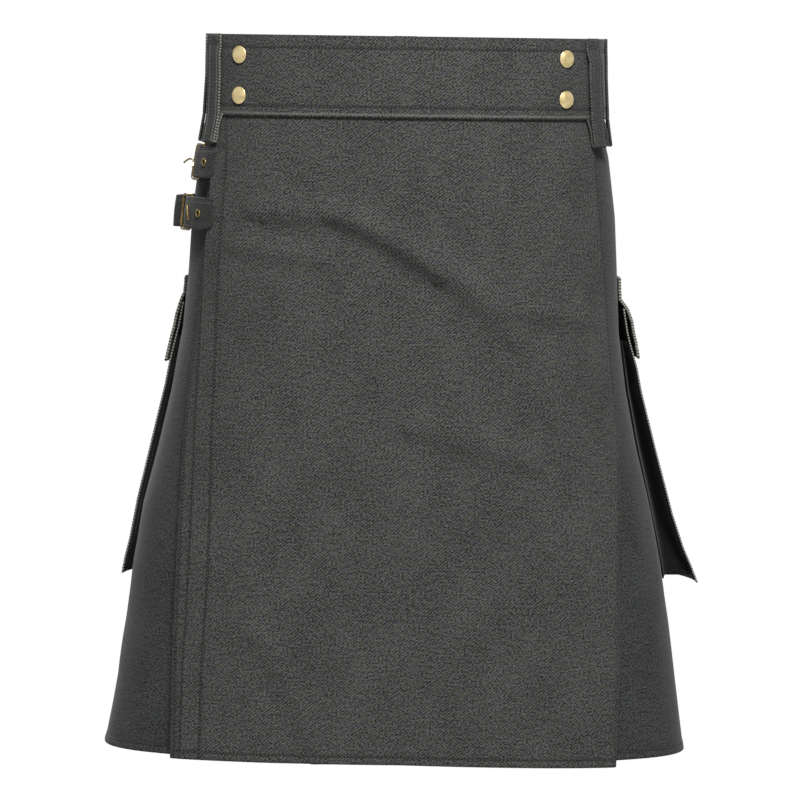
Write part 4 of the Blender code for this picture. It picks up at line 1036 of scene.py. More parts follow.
# %% [markdown]
# ## Hip straps and their tabs
# On the viewer's left two straps come from the hip, pass through brass buckles and end just over
# the front apron's edge. Each lies on the hip where it is sewn, bulges where it is slack and rides
# over the buckle's hinge bar. A folded tab under the apron's edge holds the hinge bar.
# %% Straps
STRAP_WIDTH = 25 * MM
STRAP_CLOTH = 2.0 * MM
STRAP_LAY = 0.8 * MM
STRAP_STEPS = 130
STRAP_CORNER = 4.5 * MM
TAB_WIDTH = 21 * MM
TAB_CLOTH = 1.0 * MM
TAB_SEWN = 12 * MM
BUCKLE_WIRE = 1.5 * MM
BUCKLE_LENGTH = 19 * MM
BUCKLE_HEIGHT = 29 * MM
BUCKLE_CORNER = 4 * MM
PRONG_WIRE = 0.9 * MM
WIRE_GAP = 0.55 * MM

# Each strap: its middle's drop, where its buckle's front bar lies before the outermost point of
# the side, how high that bar's strap stands off the hip, and the slack bulge just behind the bar.
STRAP_COLUMNS = ("name", "drop", "bar_before_side", "bar_lift", "bulge", "tip_past_edge", "eyelet_behind_tip")
STRAP_ROWS = (
    ("upper", 107 * MM, 26 * MM, 2.4 * MM, 0.5 * MM, 3.4 * MM, 11.0 * MM),
    ("lower", 150 * MM, 14 * MM, 5.6 * MM, 10.0 * MM, 6.0 * MM, 15.5 * MM),
)

# Each prong: distance behind the hinge bar, height over the strap's face and rise, in mm.
PRONG_ROWS = {
    "upper": ((2.5, 0.0, -4.5), (10.5, 0.4, -1.0), (19.0, 4.6, 2.0), (21.5, 9.4, -1.5)),
    "lower": ((-18.5, 0.0, -6.5), (-16.0, 0.0, -2.0), (-13.5, 0.0, 2.5), (-11.5, 0.2, 6.5)),
}
# A strap's line behind the bar, as distance from the bar and share of the bulge.
STRAP_SLACK = ((0, 0.0), (4, 0.05), (8, 0.6), (14, 1.0), (24, 0.8))
STRAP_LANDS = (42 * MM, 0.35)
STRAP_SEWN = (62 * MM, 92 * MM)


class Strap:
    """One hip strap with its buckle: all measures run from the front centre to the left."""

    def __init__(self, row):
        data = dict(zip(STRAP_COLUMNS, row))
        self.name, self.bulge = data["name"], data["bulge"]
        self.past_edge, self.eyelet = data["tip_past_edge"], data["eyelet_behind_tip"]
        self.ring = ring_at(data["drop"])
        self.bar = self.ring.side_place(LEFT) - data["bar_before_side"]
        self.hinge = self.bar - BUCKLE_LENGTH
        self.free = free_place(self.ring)
        self.fold = front_fold(self.ring, LEFT).edge
        self.apron_face = 2 * SEWN_STEP + CLOTH / 2
        self.strap_at_bar = self.hip_face(self.bar) + data["bar_lift"]
        tab_low = max(self.hip_face(self.hinge), 0.0) + STRAP_LAY + TAB_CLOTH / 2
        self.hinge_level = tab_low + TAB_CLOTH / 2 + WIRE_GAP + BUCKLE_WIRE
        self.bar_level = self.strap_at_bar + STRAP_CLOTH / 2 + WIRE_GAP + BUCKLE_WIRE
        tab_top = self.hinge_level + BUCKLE_WIRE + WIRE_GAP + TAB_CLOTH
        self.over_hinge = tab_top + WIRE_GAP + STRAP_CLOTH / 2

    def hip_face(self, place):
        """Outer face of the hip panel at a distance from the front centre."""
        return float(hip_level(self.ring, LEFT, np.array([place]))[0]) + CLOTH / 2

    def path(self):
        """The strap from its tip over the apron's edge, through the buckle and back along the hip."""
        low = STRAP_CLOTH / 2 + STRAP_LAY
        over_edge = apron_levels(self.ring)[0][0] + CLOTH / 2 + low
        tab_top = self.apron_face + LAY_GAP + 2 * TAB_CLOTH + SEAM_GAP
        tip = self.free - self.past_edge
        crest = max(self.over_hinge, tab_top + low)
        stops = [(tip, over_edge), (tip + 8 * MM, over_edge - 0.2 * MM),
                 (self.hinge - 9 * MM, crest + 0.2 * MM), (self.hinge, crest),
                 (self.hinge + 4 * MM, crest - 0.6 * MM),
                 (self.bar - 4 * MM, self.strap_at_bar + 0.3 * MM)]
        stops += [(self.bar + distance * MM, self.strap_at_bar + share * self.bulge)
                  for distance, share in STRAP_SLACK]
        landing = self.bar + STRAP_LANDS[0]
        stops += [(landing, self.hip_face(landing) + low + STRAP_LANDS[1] * self.bulge)]
        stops += [(self.bar + distance, self.hip_face(self.bar + distance) + low)
                  for distance in STRAP_SEWN]
        even = np.linspace(tip, stops[-1][0], STRAP_STEPS)
        levels = np.interp(even, *zip(*stops))
        padded = np.concatenate((np.full(2, levels[0]), levels, np.full(2, levels[-1])))
        return even, np.convolve(padded, np.array((1, 2, 3, 2, 1)) / 9, mode="valid")

    def tab_path(self):
        """The folded loop that holds the hinge bar, sewn under the over apron's edge."""
        inside = self.free - TAB_SEWN
        low = self.apron_face + 0.5 * STRAP_LAY + TAB_CLOTH / 2
        high = low + TAB_CLOTH + SEAM_GAP
        reach = BUCKLE_WIRE + WIRE_GAP + TAB_CLOTH / 2
        turn = np.linspace(-math.pi / 2, math.pi / 2, 15)
        bend_places = self.hinge + reach * np.cos(turn)
        bend_levels = self.hinge_level + reach * np.sin(turn)
        knee = self.fold + 5 * MM
        run = np.linspace(inside, self.hinge, 28)[:-1]
        lower = np.interp(run, (inside, knee, self.hinge), (low, low, bend_levels[0]))
        upper = np.interp(run, (inside, knee, self.hinge), (high, high, bend_levels[-1]))
        return np.concatenate((run, bend_places, run[::-1])), np.concatenate((lower, bend_levels, upper[::-1]))


def hip_strip(middle, places, levels, width, corner):
    """Grid of a strip along the left hip: each row one drop, the tip's corners cut round."""
    rows = []
    for offset in strip_offsets(width):
        ring = ring_at(middle.drop + offset)
        shift = ring.side_place(LEFT) - middle.side_place(LEFT)
        past = max(0.0, abs(offset) - (width / 2 - corner)) if corner else 0.0
        cut = corner - math.sqrt(max(0.0, corner ** 2 - past ** 2)) if corner else 0.0
        start = np.linspace(places[0] + cut, places[0] + 3 * STRAP_CORNER, 12) if corner else places[:0]
        along = np.concatenate((start, places[places > places[0] + 3 * STRAP_CORNER])) if corner else places
        height = np.interp(along, places, levels) if corner else levels
        x, y = ring.at(-(along + shift), height + edge_groove(np.array(offset), width))
        rows.append(np.stack((x, y, np.full(x.shape, ring.height)), axis=-1)[::-1])
    return np.stack(rows)


straps = [Strap(row) for row in STRAP_ROWS]
for strap in straps:
    name = "strap_" + strap.name
    places, levels = strap.path()
    worn = 0.5 * ridge_wear(STRAP_WIDTH / 2 - np.abs(strip_offsets(STRAP_WIDTH)))[:, None]
    piece = cloth_wall("denim_" + name, hip_strip(strap.ring, places, levels, STRAP_WIDTH, STRAP_CORNER),
                       STRAP_CLOTH, strap_denim, (name,), worn, 0.1)
    name = "buckle_tab_" + strap.name
    places, levels = strap.tab_path()
    piece = cloth_wall("denim_" + name, hip_strip(strap.ring, places, levels, TAB_WIDTH, 0.0),
                       TAB_CLOTH, strap_denim, (name,), None, 0.3)

# %% [markdown]
# ## Bellows pockets
# Each hip carries a large pocket whose front stands away from the hip panel. The strip that joins
# them, the gusset, is one constant width: where the front lies close, it folds further inwards. The
# right pocket hangs open wider towards its foot. A band covers the top seam and a flap hangs over
# the mouth.
# %% Pockets
POCKET_WIDTH = 150 * MM
POCKET_STEPS = 30
POCKET_LAY = 0.9 * MM
POCKET_CLOTH = 1.4 * MM
POCKET_BOTTOM = 463 * MM
POCKET_SHIFT = {LEFT: 12 * MM, RIGHT: -2 * MM}
BAND_PIECE_CLOTH = 2.4 * MM
GUSSET_CLOTH = 1.0 * MM
GUSSET_INSET = 2.5 * MM
GUSSET_LAY = 1.3 * MM
POCKET_INNER_STITCH = 8.5 * MM
GUSSET_CUT = 60 * MM
GUSSET_FOLDED_CUT = 16 * MM
EDGE_OFFSETS = np.array((0, 0.6, 1.2, 1.8, 2.4, 3.0, 3.6, 4.4, 5.8, 7.6, 8.5, 9.4, 11.5, 15)) * MM
BAND_PIECE_DROPS = {LEFT: np.linspace(207 * MM, 221.7 * MM, 13), RIGHT: np.linspace(203 * MM, 221.7 * MM, 15)}
FLAP_DROPS = {LEFT: np.linspace(222 * MM, 279 * MM, 38), RIGHT: np.linspace(222 * MM, 270.5 * MM, 34)}
FRONT_DROPS = np.concatenate((np.linspace(229.5 * MM, 445 * MM, 70), 463 * MM - EDGE_OFFSETS[::-1]))


def pocket_places(ring, side, margin=0.0):
    """Places across a pocket, from its front edge to its back edge, close at both edges."""
    start, end = ring.side_place(side) + POCKET_SHIFT[side] + margin, 0.0
    end = start + POCKET_WIDTH - 2 * margin
    middle = np.linspace(start + EDGE_OFFSETS[-1], end - EDGE_OFFSETS[-1], POCKET_STEPS + 2)[1:-1]
    return np.concatenate((start + EDGE_OFFSETS, middle, end - EDGE_OFFSETS[::-1]))


def pocket_grid(drops, side, lift, seed, soft):
    """The hip panel's points moved out by a lift for each drop, with a soft lie; and its wear."""
    flip = 1 if side == RIGHT else -1
    worn = []

    def path(ring):
        places = pocket_places(ring, side)
        share = (places - places[0]) / POCKET_WIDTH
        fallen = min(1.0, max(0.0, (ring.drop - drops[0]) / (drops[-1] - drops[0])))
        lie = sway(places, np.float64(ring.drop), seed, soft) * np.sin(math.pi * share) * math.sin(math.pi * fallen)
        from_side = np.minimum(places - places[0], places[-1] - places)
        from_foot = drops[-1] - ring.drop
        groove = sum(np.exp(-(((gap - row) / (0.8 * MM)) ** 2))
                     for gap in (from_side, from_foot) for row in (TRIM_STITCH, POCKET_INNER_STITCH))
        levels = hip_level(ring, side, places) + CLOTH / 2 + lift(ring.drop) + lie - 0.3 * MM * groove
        worn.append(np.maximum(ridge_wear(from_side), ridge_wear(from_foot)))
        return flip * places, levels

    grid, worn = plan_grid(path, drops), np.stack(worn)
    return (grid, worn) if side == RIGHT else (grid[:, ::-1], worn[:, ::-1])


def gusset_grid(side):
    """Strip down one side, along the foot and up: across it, a half superellipse folds inwards."""
    flip = 1 if side == RIGHT else -1
    foot = POCKET_BOTTOM - GUSSET_INSET
    down = np.linspace(258 * MM, foot - 3 * MM, 52)
    stops = [(drop, 0.0) for drop in down] + [(foot, share) for share in np.linspace(0.02, 0.98, 44)]
    stops += [(drop, 1.0) for drop in down[::-1]]
    turn = np.linspace(-math.pi / 2, math.pi / 2, 15)
    rows = []
    for drop, share in stops:
        ring = ring_at(drop)
        ends = pocket_places(ring, side, GUSSET_INSET)[[0, -1]]
        place = ends[0] + (ends[1] - ends[0]) * share
        stand = column(POCKET_ROWS, POCKET_COLUMNS, side + "_front", drop)
        tall = stand - POCKET_CLOTH / 2 - POCKET_LAY - GUSSET_LAY - GUSSET_CLOTH * (1 if stand < 8 * MM else 0)
        cut = GUSSET_CUT if side == RIGHT else GUSSET_FOLDED_CUT
        deep = math.sqrt(max((cut / 2) ** 2 - (tall / 2) ** 2, (2 * MM) ** 2)) * 0.8
        deep *= 0.3 if 0 < share < 1 else 0.3 + 0.7 * min(1.0, (foot - drop) / (45 * MM))
        power = 2 / 2.2 if side == RIGHT else 2 / 6
        inwards = deep * np.cos(turn) ** power
        rise = GUSSET_LAY + (GUSSET_CLOTH / 2 if stand < 8 * MM else 0.0)
        levels = rise + tall * (0.5 + 0.5 * np.sign(turn) * np.abs(np.sin(turn)) ** power)
        if share in (0.0, 1.0):
            spots = np.full(turn.shape, place) + (inwards if share == 0.0 else -inwards)
            drops = np.full(turn.shape, drop)
        else:
            spots, drops = np.full(turn.shape, place), drop - inwards
        base = hip_level(ring, side, spots) + CLOTH / 2
        plan = [ring_at(round(d / MM, 1) * MM).at(flip * p, b + l) for p, d, b, l in zip(spots, drops, base, levels)]
        rows.append(np.column_stack((np.array(plan), WAIST_TOP - drops)))
    grid = np.stack(rows)
    return grid[:, ::-1] if side == RIGHT else grid


for side in (LEFT, RIGHT):
    def stand(drop, side=side):
        """How far this pocket's front stands off the hip panel."""
        return column(POCKET_ROWS, POCKET_COLUMNS, side + "_front", drop)

    def hang(drop, side=side):
        """How far this pocket's flap stands off the hip panel."""
        return column(POCKET_ROWS, POCKET_COLUMNS, side + "_flap", drop)

    def lie_flat(drop):
        """The band that covers the pocket's top seam lies on the hip panel."""
        return POCKET_LAY + BAND_PIECE_CLOTH / 2

    pocket_rows = (
        ("pocket_front_", FRONT_DROPS, stand, POCKET_CLOTH, 0.9, "pocket_gusset_" + side),
        ("pocket_flap_", FLAP_DROPS[side], hang, BAND_PIECE_CLOTH, 0.3, "pocket_front_" + side),
        ("pocket_band_", BAND_PIECE_DROPS[side], lie_flat, BAND_PIECE_CLOTH, 0.0, "side_panel_" + side),
    )
    for number, (start, drops, lift, thickness, soft, under) in enumerate(pocket_rows):
        name = start + side
        grid, worn = pocket_grid(drops, side, lift, 51 + number, soft)
        piece = cloth_wall("denim_" + name, grid, thickness, trim_denim_shaded, (name,), worn)
    name = "pocket_gusset_" + side
    piece = cloth_wall("denim_" + name, gusset_grid(side), GUSSET_CLOTH, gusset_denim, (name,), None, 0.0)

# %% [markdown]
# ## Brass
# The snaps, buckles and eyelets are pressed and bent brass with an antique finish: the metal is
# darkened in a bath and polished clear again. The caps are drawn pale and even; the buckles, prongs
# and eyelets are drawn darker and browner. Both mirror the room softly.
# %% Brass material
def brass_finish(name, clear, dark, smooth, rough):
    """Metal whose colour and roughness drift from clear and smooth to dark and rough in clouds."""
    made, tree, shader = new_material(name)
    spot = add(tree, "ShaderNodeTexCoord")
    clouds = add(tree, "ShaderNodeTexNoise", None,
                 {"Vector": spot.outputs["Object"], "Scale": 1 / (5 * MM), "Detail": 2.0})
    tarnish = add(tree, "ShaderNodeMapRange", None,
                  {"Value": clouds.outputs["Fac"], "From Min": 0.35, "From Max": 0.75})
    colour = add(tree, "ShaderNodeMix", {"data_type": "RGBA"},
                 {"Factor": tarnish.outputs["Result"], 6: linear(clear), 7: linear(dark)})
    tree.links.new(colour.outputs[2], shader.inputs["Base Color"])
    polish = add(tree, "ShaderNodeMapRange", None,
                 {"Value": tarnish.outputs["Result"], "To Min": smooth, "To Max": rough})
    tree.links.new(polish.outputs["Result"], shader.inputs["Roughness"])
    shader.inputs["Metallic"].default_value = 1.0
    return made


brass = brass_finish("antique_brass_polished", "#d3c194", "#b09c6a", 0.33, 0.42)
dark_brass = brass_finish("antique_brass_darkened", "#7a6840", "#3b301d", 0.35, 0.5)


# %% [markdown]
# ## Turned and bent metal
# A snap cap is a profile turned about its own axis; an eyelet is a small round section carried
# round a hole; a buckle and its prong are round wire carried along a line.
# %% Metal shapes
def axes_about(axis):
    """Two unit directions square to an axis, the second as near upright as it can be."""
    axis = unit(np.array(axis, dtype=float))
    aside = unit(np.cross((0.0, 0.0, 1.0), axis))
    return axis, aside, np.cross(axis, aside)


def turned(name, centre, axis, profile, replaces, sides=40):
    """Points = centre + r (aside cos a + up sin a) + h axis for each (r, h) of the profile."""
    axis, aside, upward = axes_about(axis)
    angle = np.arange(sides) * 2 * math.pi / sides
    circle = np.outer(np.cos(angle), aside) + np.outer(np.sin(angle), upward)
    radius, height = np.array(profile).T * MM
    rings_of = centre + radius[:, None, None] * circle + height[:, None, None] * axis
    count = len(profile)
    poles = np.array((centre + height[0] * axis, centre + height[-1] * axis))
    index = np.arange(count * sides).reshape(count, sides)
    after = np.roll(index, -1, axis=1)
    walls = np.stack((index[:-1], after[:-1], after[1:], index[1:]), axis=-1).reshape(-1, 4)
    foot = np.stack((after[0], index[0], np.full(sides, count * sides)), axis=-1)
    crown = np.stack((index[-1], after[-1], np.full(sides, count * sides + 1)), axis=-1)
    piece = place_piece(name, np.concatenate((rings_of.reshape(-1, 3), poles)),
                        list(walls) + list(foot) + list(crown), brass)
    if replaces:
        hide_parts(replaces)
    return piece


def wire(name, points, radius, closed, replaces, sides=14):
    """Round wire: each station's circle lies square to the line, in its bend's own plane."""
    points = np.array(points)
    ahead, behind = np.roll(points, -1, axis=0) - points, points - np.roll(points, 1, axis=0)
    if not closed:
        ahead[-1], behind[0] = behind[-1], ahead[0]
    direction = unit(unit(ahead) + unit(behind))
    flat = np.linalg.svd(points - points.mean(axis=0))[2][2]
    across = unit(np.cross(direction, flat))
    angle = np.arange(sides) * 2 * math.pi / sides
    radius = np.broadcast_to(radius, (len(points),))[:, None, None]
    circle = np.cos(angle)[None, :, None] * across[:, None] + np.sin(angle)[None, :, None] * flat
    body = points[:, None] + radius * circle
    count = len(points)
    index = np.arange(count * sides).reshape(count, sides)
    onward = np.roll(index, -1, axis=0) if closed else index[1:]
    here = index if closed else index[:-1]
    walls = np.stack((here, np.roll(here, -1, axis=1), np.roll(onward, -1, axis=1), onward), axis=-1)
    faces, body = list(walls.reshape(-1, 4)), body.reshape(-1, 3)
    if not closed:
        tips = np.array((points[0] - direction[0] * radius[0, 0, 0] * 0.6,
                         points[-1] + direction[-1] * radius[-1, 0, 0] * 0.6))
        body = np.concatenate((body, tips))
        start, end = index[0], index[-1]
        faces += list(np.stack((np.roll(start, -1), start, np.full(sides, count * sides)), axis=-1))
        faces += list(np.stack((end, np.roll(end, -1), np.full(sides, count * sides + 1)), axis=-1))
    piece = place_piece(name, body, faces, dark_brass)
    if replaces:
        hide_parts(replaces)
    return piece


# %% Snaps
SNAP_REACH = 136.5 * MM
SNAP_DROPS = (16 * MM, 50 * MM)
SNAP_SEAT = 0.75 * MM
SNAP_BACK_SEAT = 1.3 * MM
SNAP_FACE_LEVEL = 10 * MM
CAP_PROFILE = ((6.5, 0.0), (7.0, 0.05), (7.35, 0.35), (7.4, 0.75), (7.2, 1.15), (6.8, 1.35), (6.4, 1.42),
               (6.1, 1.5), (5.4, 1.95), (4.5, 2.3), (3.4, 2.55), (2.2, 2.7), (1.0, 2.75))
SNAP_BACK_PROFILE = ((4.7, 0.0), (4.8, 0.3), (4.5, 0.8), (3.6, 0.9), (2.6, 1.1), (2.2, 1.3))
number = 0
for side, flip in ((LEFT, -1), (RIGHT, 1)):
    for drop in SNAP_DROPS:
        number += 1
        ring = ring_at(drop)
        place = flip * ring.reach_place(SNAP_REACH, SNAP_FACE_LEVEL, side)
        out = np.array((*ring.outward(place), 0.0))
        over = float(np.interp(place, *over_front(ring))) + BAND_LIFT + BAND_CLOTH / 2 + SNAP_SEAT
        under = float(np.interp(place, *under_front(ring))) + BAND_LIFT - BAND_CLOTH / 2 - SNAP_BACK_SEAT
        cap = np.array((*ring.at(place, over), ring.height))
        back = np.array((*ring.at(place, under), ring.height))
        turned("brass_snap_cap_%d" % number, cap, out, CAP_PROFILE, "snap_cap_%d" % number)
        turned("brass_snap_back_%d" % number, back, -out, SNAP_BACK_PROFILE, "snap_back_%d" % number, 24)


# %% Buckles, prongs and eyelets
def hip_point(strap, place, level, rise):
    """A point over the left hip at a strap's height, raised or lowered on the flaring ring."""
    ring = ring_at(strap.ring.drop - rise)
    shift = ring.side_place(LEFT) - strap.ring.side_place(LEFT)
    x, y = ring.at(-(place + shift), level)
    return np.array((float(x), float(y), ring.height))


def buckle_points(strap):
    """The frame's corners, each rounded by a quadratic bend: (1-s)^2 a + 2s(1-s) c + s^2 b."""
    half = BUCKLE_HEIGHT / 2
    corners = (hip_point(strap, strap.bar, strap.bar_level, half),
               hip_point(strap, strap.hinge, strap.hinge_level, half),
               hip_point(strap, strap.hinge, strap.hinge_level, -half),
               hip_point(strap, strap.bar, strap.bar_level, -half))
    share = np.linspace(0.0, 1.0, 9)[:, None]
    points = []
    for index, corner in enumerate(corners):
        before = corner + unit(corners[index - 1] - corner) * BUCKLE_CORNER
        after = corner + unit(corners[(index + 1) % 4] - corner) * BUCKLE_CORNER
        points.append((1 - share) ** 2 * before + 2 * share * (1 - share) * corner + share ** 2 * after)
    return np.concatenate(points)


def prong_points(strap):
    """A cubic through four points, each a little over the strap's face: c3 s^3 + c2 s^2 + c1 s + c0."""
    places, levels = strap.path()
    knots = []
    for behind, over, rise in PRONG_ROWS[strap.name]:
        place = strap.hinge + behind * MM
        face = float(np.interp(place, places, levels)) + STRAP_CLOTH / 2
        knots.append(hip_point(strap, place, face + SEAM_GAP + PRONG_WIRE + over * MM, rise * MM))
    walked = np.concatenate(([0.0], np.cumsum(np.linalg.norm(np.diff(knots, axis=0), axis=1))))
    powers = np.vander(np.linspace(0.0, walked[-1], 18), 4)
    return powers @ np.linalg.solve(np.vander(walked, 4), knots)


EYELET_RING = 2.75 * MM
EYELET_ROLL = 0.75 * MM
for strap in straps:
    wire("brass_buckle_" + strap.name, buckle_points(strap), BUCKLE_WIRE, True, "buckle_" + strap.name)
    thin = PRONG_WIRE * np.linspace(1.05, 0.85, 18)
    wire("brass_prong_" + strap.name, prong_points(strap), thin, False, "buckle_prong_" + strap.name)
    places, levels = strap.path()
    place = places[0] + strap.eyelet
    level = float(np.interp(place, places, levels)) + STRAP_CLOTH / 2 + 1.5 * SEAM_GAP
    above = hip_point(strap, place, level, 4 * MM) - hip_point(strap, place, level, -4 * MM)
    along = hip_point(strap, place + 2 * MM, level, 0.0) - hip_point(strap, place - 2 * MM, level, 0.0)
    axis, aside, upward = axes_about(np.cross(above, along))
    angle = np.arange(36)[:, None] * 2 * math.pi / 36
    circle = hip_point(strap, place, level, 0.0) + axis * 0.2 * MM
    circle = circle + EYELET_RING * (np.cos(angle) * aside + np.sin(angle) * upward)
    wire("brass_eyelet_" + strap.name, circle, EYELET_ROLL, True, "eyelet_" + strap.name, 12)

# %% [markdown]
# ## Stitches
# Every stitch is a small bead of thread, 2.6 mm long, pulled into the cloth at both ends. A row is
# laid along a line on a piece's face: the line is walked at an even pitch, and the same bead is
# turned to the line and the face at each step.
# %% Stitch rows
STITCH_PITCH = 3.2 * MM
STITCH_LONG, STITCH_WIDE, STITCH_TALL = 2.6 * MM, 0.8 * MM, 0.62 * MM


def on_face(piece, rows, cols):
    """Points and normals of a piece's outer face at fractional rows and columns (bilinear)."""
    face, normal = pieces[piece]["face"], pieces[piece]["normal"]
    rows, cols = np.broadcast_arrays(np.asarray(rows, float), np.asarray(cols, float))
    row = np.clip(rows.astype(int), 0, face.shape[0] - 2)
    col = np.clip(cols.astype(int), 0, face.shape[1] - 2)
    down, across = (rows - row)[:, None], (cols - col)[:, None]

    def blend(grid):
        top = grid[row, col] * (1 - across) + grid[row, col + 1] * across
        low = grid[row + 1, col] * (1 - across) + grid[row + 1, col + 1] * across
        return top * (1 - down) + low * down

    return blend(face), unit(blend(normal))


def row_at(piece, distance, from_foot=False):
    """Fractional row at a distance down from the piece's top edge, or up from its foot."""
    fallen = pieces[piece]["fallen"]
    distance = fallen[-1] - distance if from_foot else distance
    return float(np.interp(distance, fallen, np.arange(len(fallen))))


def col_at(piece, rows, distance, start=0):
    """Fractional column at a distance along each row from a start column, either way."""
    walked = pieces[piece]["walked"]
    number = np.arange(walked.shape[1])
    found = np.array([np.interp(line[start] + distance, line, number) for line in walked])
    return np.interp(rows, np.arange(len(found)), found)


def stitch_line(piece, rows, cols):
    """Frames for the stitches of one row: spot, forward, aside and up, at an even pitch."""
    points, normals = on_face(piece, rows, cols)
    walked = np.concatenate(([0.0], np.cumsum(np.linalg.norm(np.diff(points, axis=0), axis=1))))
    stops = np.arange(STITCH_PITCH / 2, walked[-1], STITCH_PITCH)

    def look(values, where):
        return np.stack([np.interp(where, walked, values[:, k]) for k in range(3)], axis=-1)

    forward = unit(look(points, stops + STITCH_PITCH * 0.4) - look(points, stops - STITCH_PITCH * 0.4))
    up = look(normals, stops)
    aside = unit(np.cross(up, forward))
    return np.stack((look(points, stops), forward, aside, np.cross(forward, aside)), axis=1)


angle = np.arange(5) * 2 * math.pi / 5 + math.pi / 2
BEAD_RING = np.stack((np.zeros(5), np.cos(angle) * STITCH_WIDE / 2, np.sin(angle) * STITCH_TALL / 2), axis=-1)
BEAD = np.concatenate((
    [(-STITCH_LONG / 2, 0.0, -0.3 * MM)], BEAD_RING + (-STITCH_LONG / 5, 0.0, 0.1 * MM),
    BEAD_RING + (STITCH_LONG / 5, 0.0, 0.1 * MM), [(STITCH_LONG / 2, 0.0, -0.3 * MM)]))
ring_of, next_of = np.arange(5), (np.arange(5) + 1) % 5
BEAD_FACES = np.concatenate((
    np.stack((np.zeros(5, int), 1 + next_of, 1 + ring_of), axis=-1),
    np.stack((1 + ring_of, 1 + next_of, 6 + next_of), axis=-1),
    np.stack((1 + ring_of, 6 + next_of, 6 + ring_of), axis=-1),
    np.stack((6 + ring_of, 6 + next_of, np.full(5, 11)), axis=-1)))


def sew(name, lines):
    """One mesh of beads: point = spot + x forward + y aside + z up for each bead vertex."""
    frames = np.concatenate(lines)
    points = frames[:, :1] + np.einsum("vk,nkx->nvx", BEAD, frames[:, 1:])
    faces = BEAD_FACES[None] + np.arange(len(frames))[:, None, None] * len(BEAD)
    piece = place_piece(name, points.reshape(-1, 3), faces.reshape(-1, 3), thread)
    print(name, len(frames), "stitches")
    return piece


def paint_groove_shade(piece, away, inside):
    """Painted shade in a stitch row's groove, also standing in for the thin dark thread: shade = exp(-(distance / 1.0
    mm)^2).
    """
    shade = np.where(inside, np.exp(-((away / (1.0 * MM)) ** 2)), 0.0)
    pieces[piece]["shade"] = np.maximum(pieces[piece]["shade"], shade)


def along_row(piece, row, start=0.0, end=None):
    """A stitch line along one fractional row."""
    last = pieces[piece]["face"].shape[1] - 1
    end = last if end is None else end
    cols = np.linspace(start, end, 4 * last)
    fallen, number = pieces[piece]["fallen"], np.arange(last + 1)
    level = np.interp(row, np.arange(len(fallen)), fallen)
    paint_groove_shade(piece, (fallen - level)[:, None], ((number >= start) & (number <= end))[None, :])
    return stitch_line(piece, np.full(cols.shape, row), cols)


def along_edge(piece, distance, start=0, top=0.0, foot=None):
    """A stitch line down a piece, at a distance from one of its columns."""
    last = pieces[piece]["face"].shape[0] - 1
    foot = last if foot is None else foot
    rows = np.linspace(top, foot, 4 * last)
    walked, number = pieces[piece]["walked"], np.arange(last + 1)
    paint_groove_shade(piece, walked - walked[:, start][:, None] - distance, ((number >= top) & (number <= foot))[:, None])
    return stitch_line(piece, rows, col_at(piece, rows, distance, start))


band_lines = []
for name in ("denim_waistband_front", "denim_waistband_back", "denim_waistband_under"):
    last = pieces[name]["face"].shape[1] - 1
    band_lines += [along_row(name, row_at(name, drop)) for drop in BAND_STITCHES]
    band_lines += [along_edge(name, 3 * MM), along_edge(name, -3 * MM, last)]
sew("stitches_waistband", band_lines)

apron, under = "denim_over_apron", "denim_under_apron"
fold_column = len(FREE_COLUMNS) + FRONT_STEPS + len(FOLD_COLUMNS) - 1
under_column = 2 * OVERLAP_STEPS + 1 + (FOLD_STEPS - 1) - OVERLAP_STEPS
sewn_row = row_at(apron, SEWN_DOWN_TO + 50 * MM - PANEL_TOP)
STRAP_SEAM_DROPS = (93 * MM, 156 * MM)
apron_lines = [along_row(apron, row_at(apron, drop - PANEL_TOP), 1.0, 11.0) for drop in STRAP_SEAM_DROPS]
apron_lines += [along_edge(apron, FREE_HEM), along_edge(apron, -EDGE_STITCH, fold_column, 0.0, sewn_row),
                along_edge(under, EDGE_STITCH, under_column)]
hem_lines = [along_row("denim_" + name, row_at("denim_" + name, HEM_STITCH, True)) for name, _, _ in PANEL_ROWS]
half_columns = (pieces["denim_pleated_back"]["face"].shape[1]) // 2
pleat_step = (FOLD_STEPS + OVERLAP_STEPS + 1 + BACK_FACE_STEPS - 1 + OVERLAP_STEPS + 1
              + FOLD_STEPS - 1 + OVERLAP_STEPS)
pleat_edge = FOLD_STEPS + OVERLAP_STEPS + 1 + BACK_FACE_STEPS - 1 + OVERLAP_STEPS
pleat_row = row_at("denim_pleated_back", SEWN_DOWN_TO - PANEL_TOP)
pleat_lines = []
for number in range(len(BACK_FOLDS) - 1):
    right_edge = number * pleat_step + pleat_edge
    left_edge = 2 * half_columns - 1 - right_edge
    pleat_lines.append(along_edge("denim_pleated_back", -EDGE_STITCH, right_edge, 0.0, pleat_row))
    pleat_lines.append(along_edge("denim_pleated_back", EDGE_STITCH, left_edge, 0.0, pleat_row))
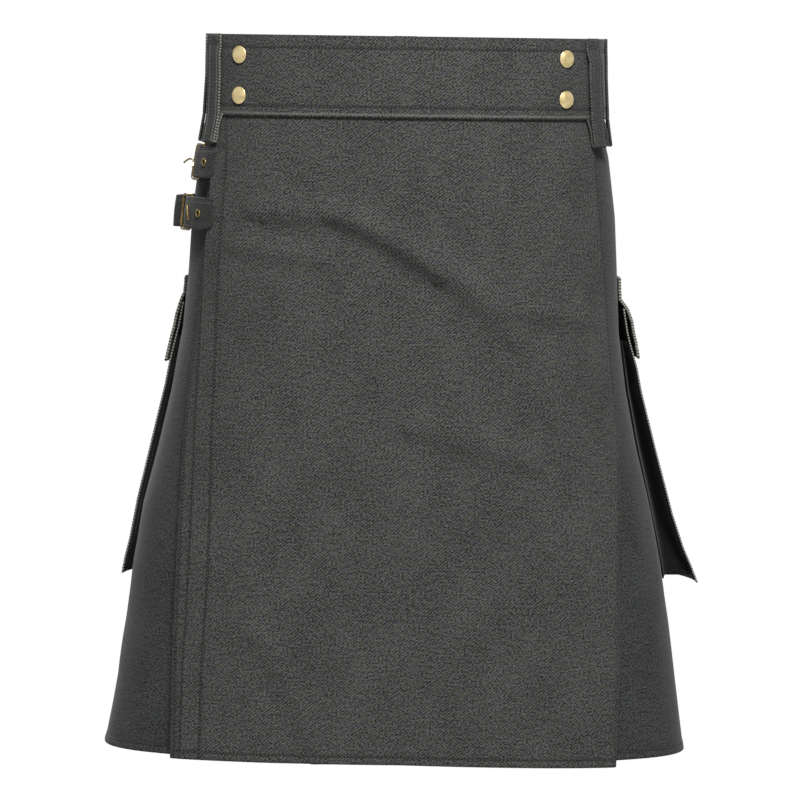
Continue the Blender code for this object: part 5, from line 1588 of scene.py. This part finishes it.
hip_edge = FOLD_STEPS + OVERLAP_STEPS + 1 + SIDE_STEPS - 1 + OVERLAP_STEPS
hip_last = pieces["denim_side_panel_left"]["face"].shape[1] - 1
pleat_lines.append(along_edge("denim_side_panel_right", -EDGE_STITCH, hip_edge, 0.0, pleat_row))
pleat_lines.append(along_edge("denim_side_panel_left", EDGE_STITCH, hip_last - hip_edge, 0.0, pleat_row))
sew("stitches_aprons", apron_lines)
sew("stitches_hems", hem_lines)
sew("stitches_pleats", pleat_lines)

trim_lines = []
for name in LOOP_PLACES:
    piece = "denim_" + name
    last = pieces[piece]["face"].shape[1] - 1
    foot = row_at(piece, 88 * MM)
    trim_lines += [along_edge(piece, TRIM_STITCH, 0, 0.0, foot), along_edge(piece, -TRIM_STITCH, last, 0.0, foot)]
    trim_lines += [along_row(piece, row_at(piece, 6.5 * MM), 3.0, last - 3.0)]
for strap in straps:
    piece = "denim_strap_" + strap.name
    trim_lines += [along_row(piece, row_at(piece, TRIM_STITCH, upside)) for upside in (False, True)]
sew("stitches_loops_and_straps", trim_lines)

pocket_lines = []
for side in (LEFT, RIGHT):
    for part in ("front", "flap", "band"):
        piece = "denim_pocket_%s_%s" % (part, side)
        last = pieces[piece]["face"].shape[1] - 1
        for gap in (TRIM_STITCH, POCKET_INNER_STITCH) if part != "band" else (TRIM_STITCH,):
            foot = row_at(piece, gap, True)
            col = float(col_at(piece, np.array([foot]), gap)[0])
            pocket_lines += [along_edge(piece, gap, 0, 0.0, foot), along_edge(piece, -gap, last, 0.0, foot),
                             along_row(piece, foot, col, last - col)]
        if part == "band":
            pocket_lines += [along_row(piece, row_at(piece, TRIM_STITCH))]
sew("stitches_pockets", pocket_lines)

# Each stitch row's painted groove shade goes into the cloth's attribute as values below zero.
for piece in pieces.values():
    shade = piece["shade"].ravel()
    wear = piece["mesh"].attributes["wear"].data
    values = np.zeros(len(wear), dtype=np.float32)
    wear.foreach_get("value", values)
    values[:len(shade)] = values[:len(shade)] * (1 - shade) - shade
    wear.foreach_set("value", values)
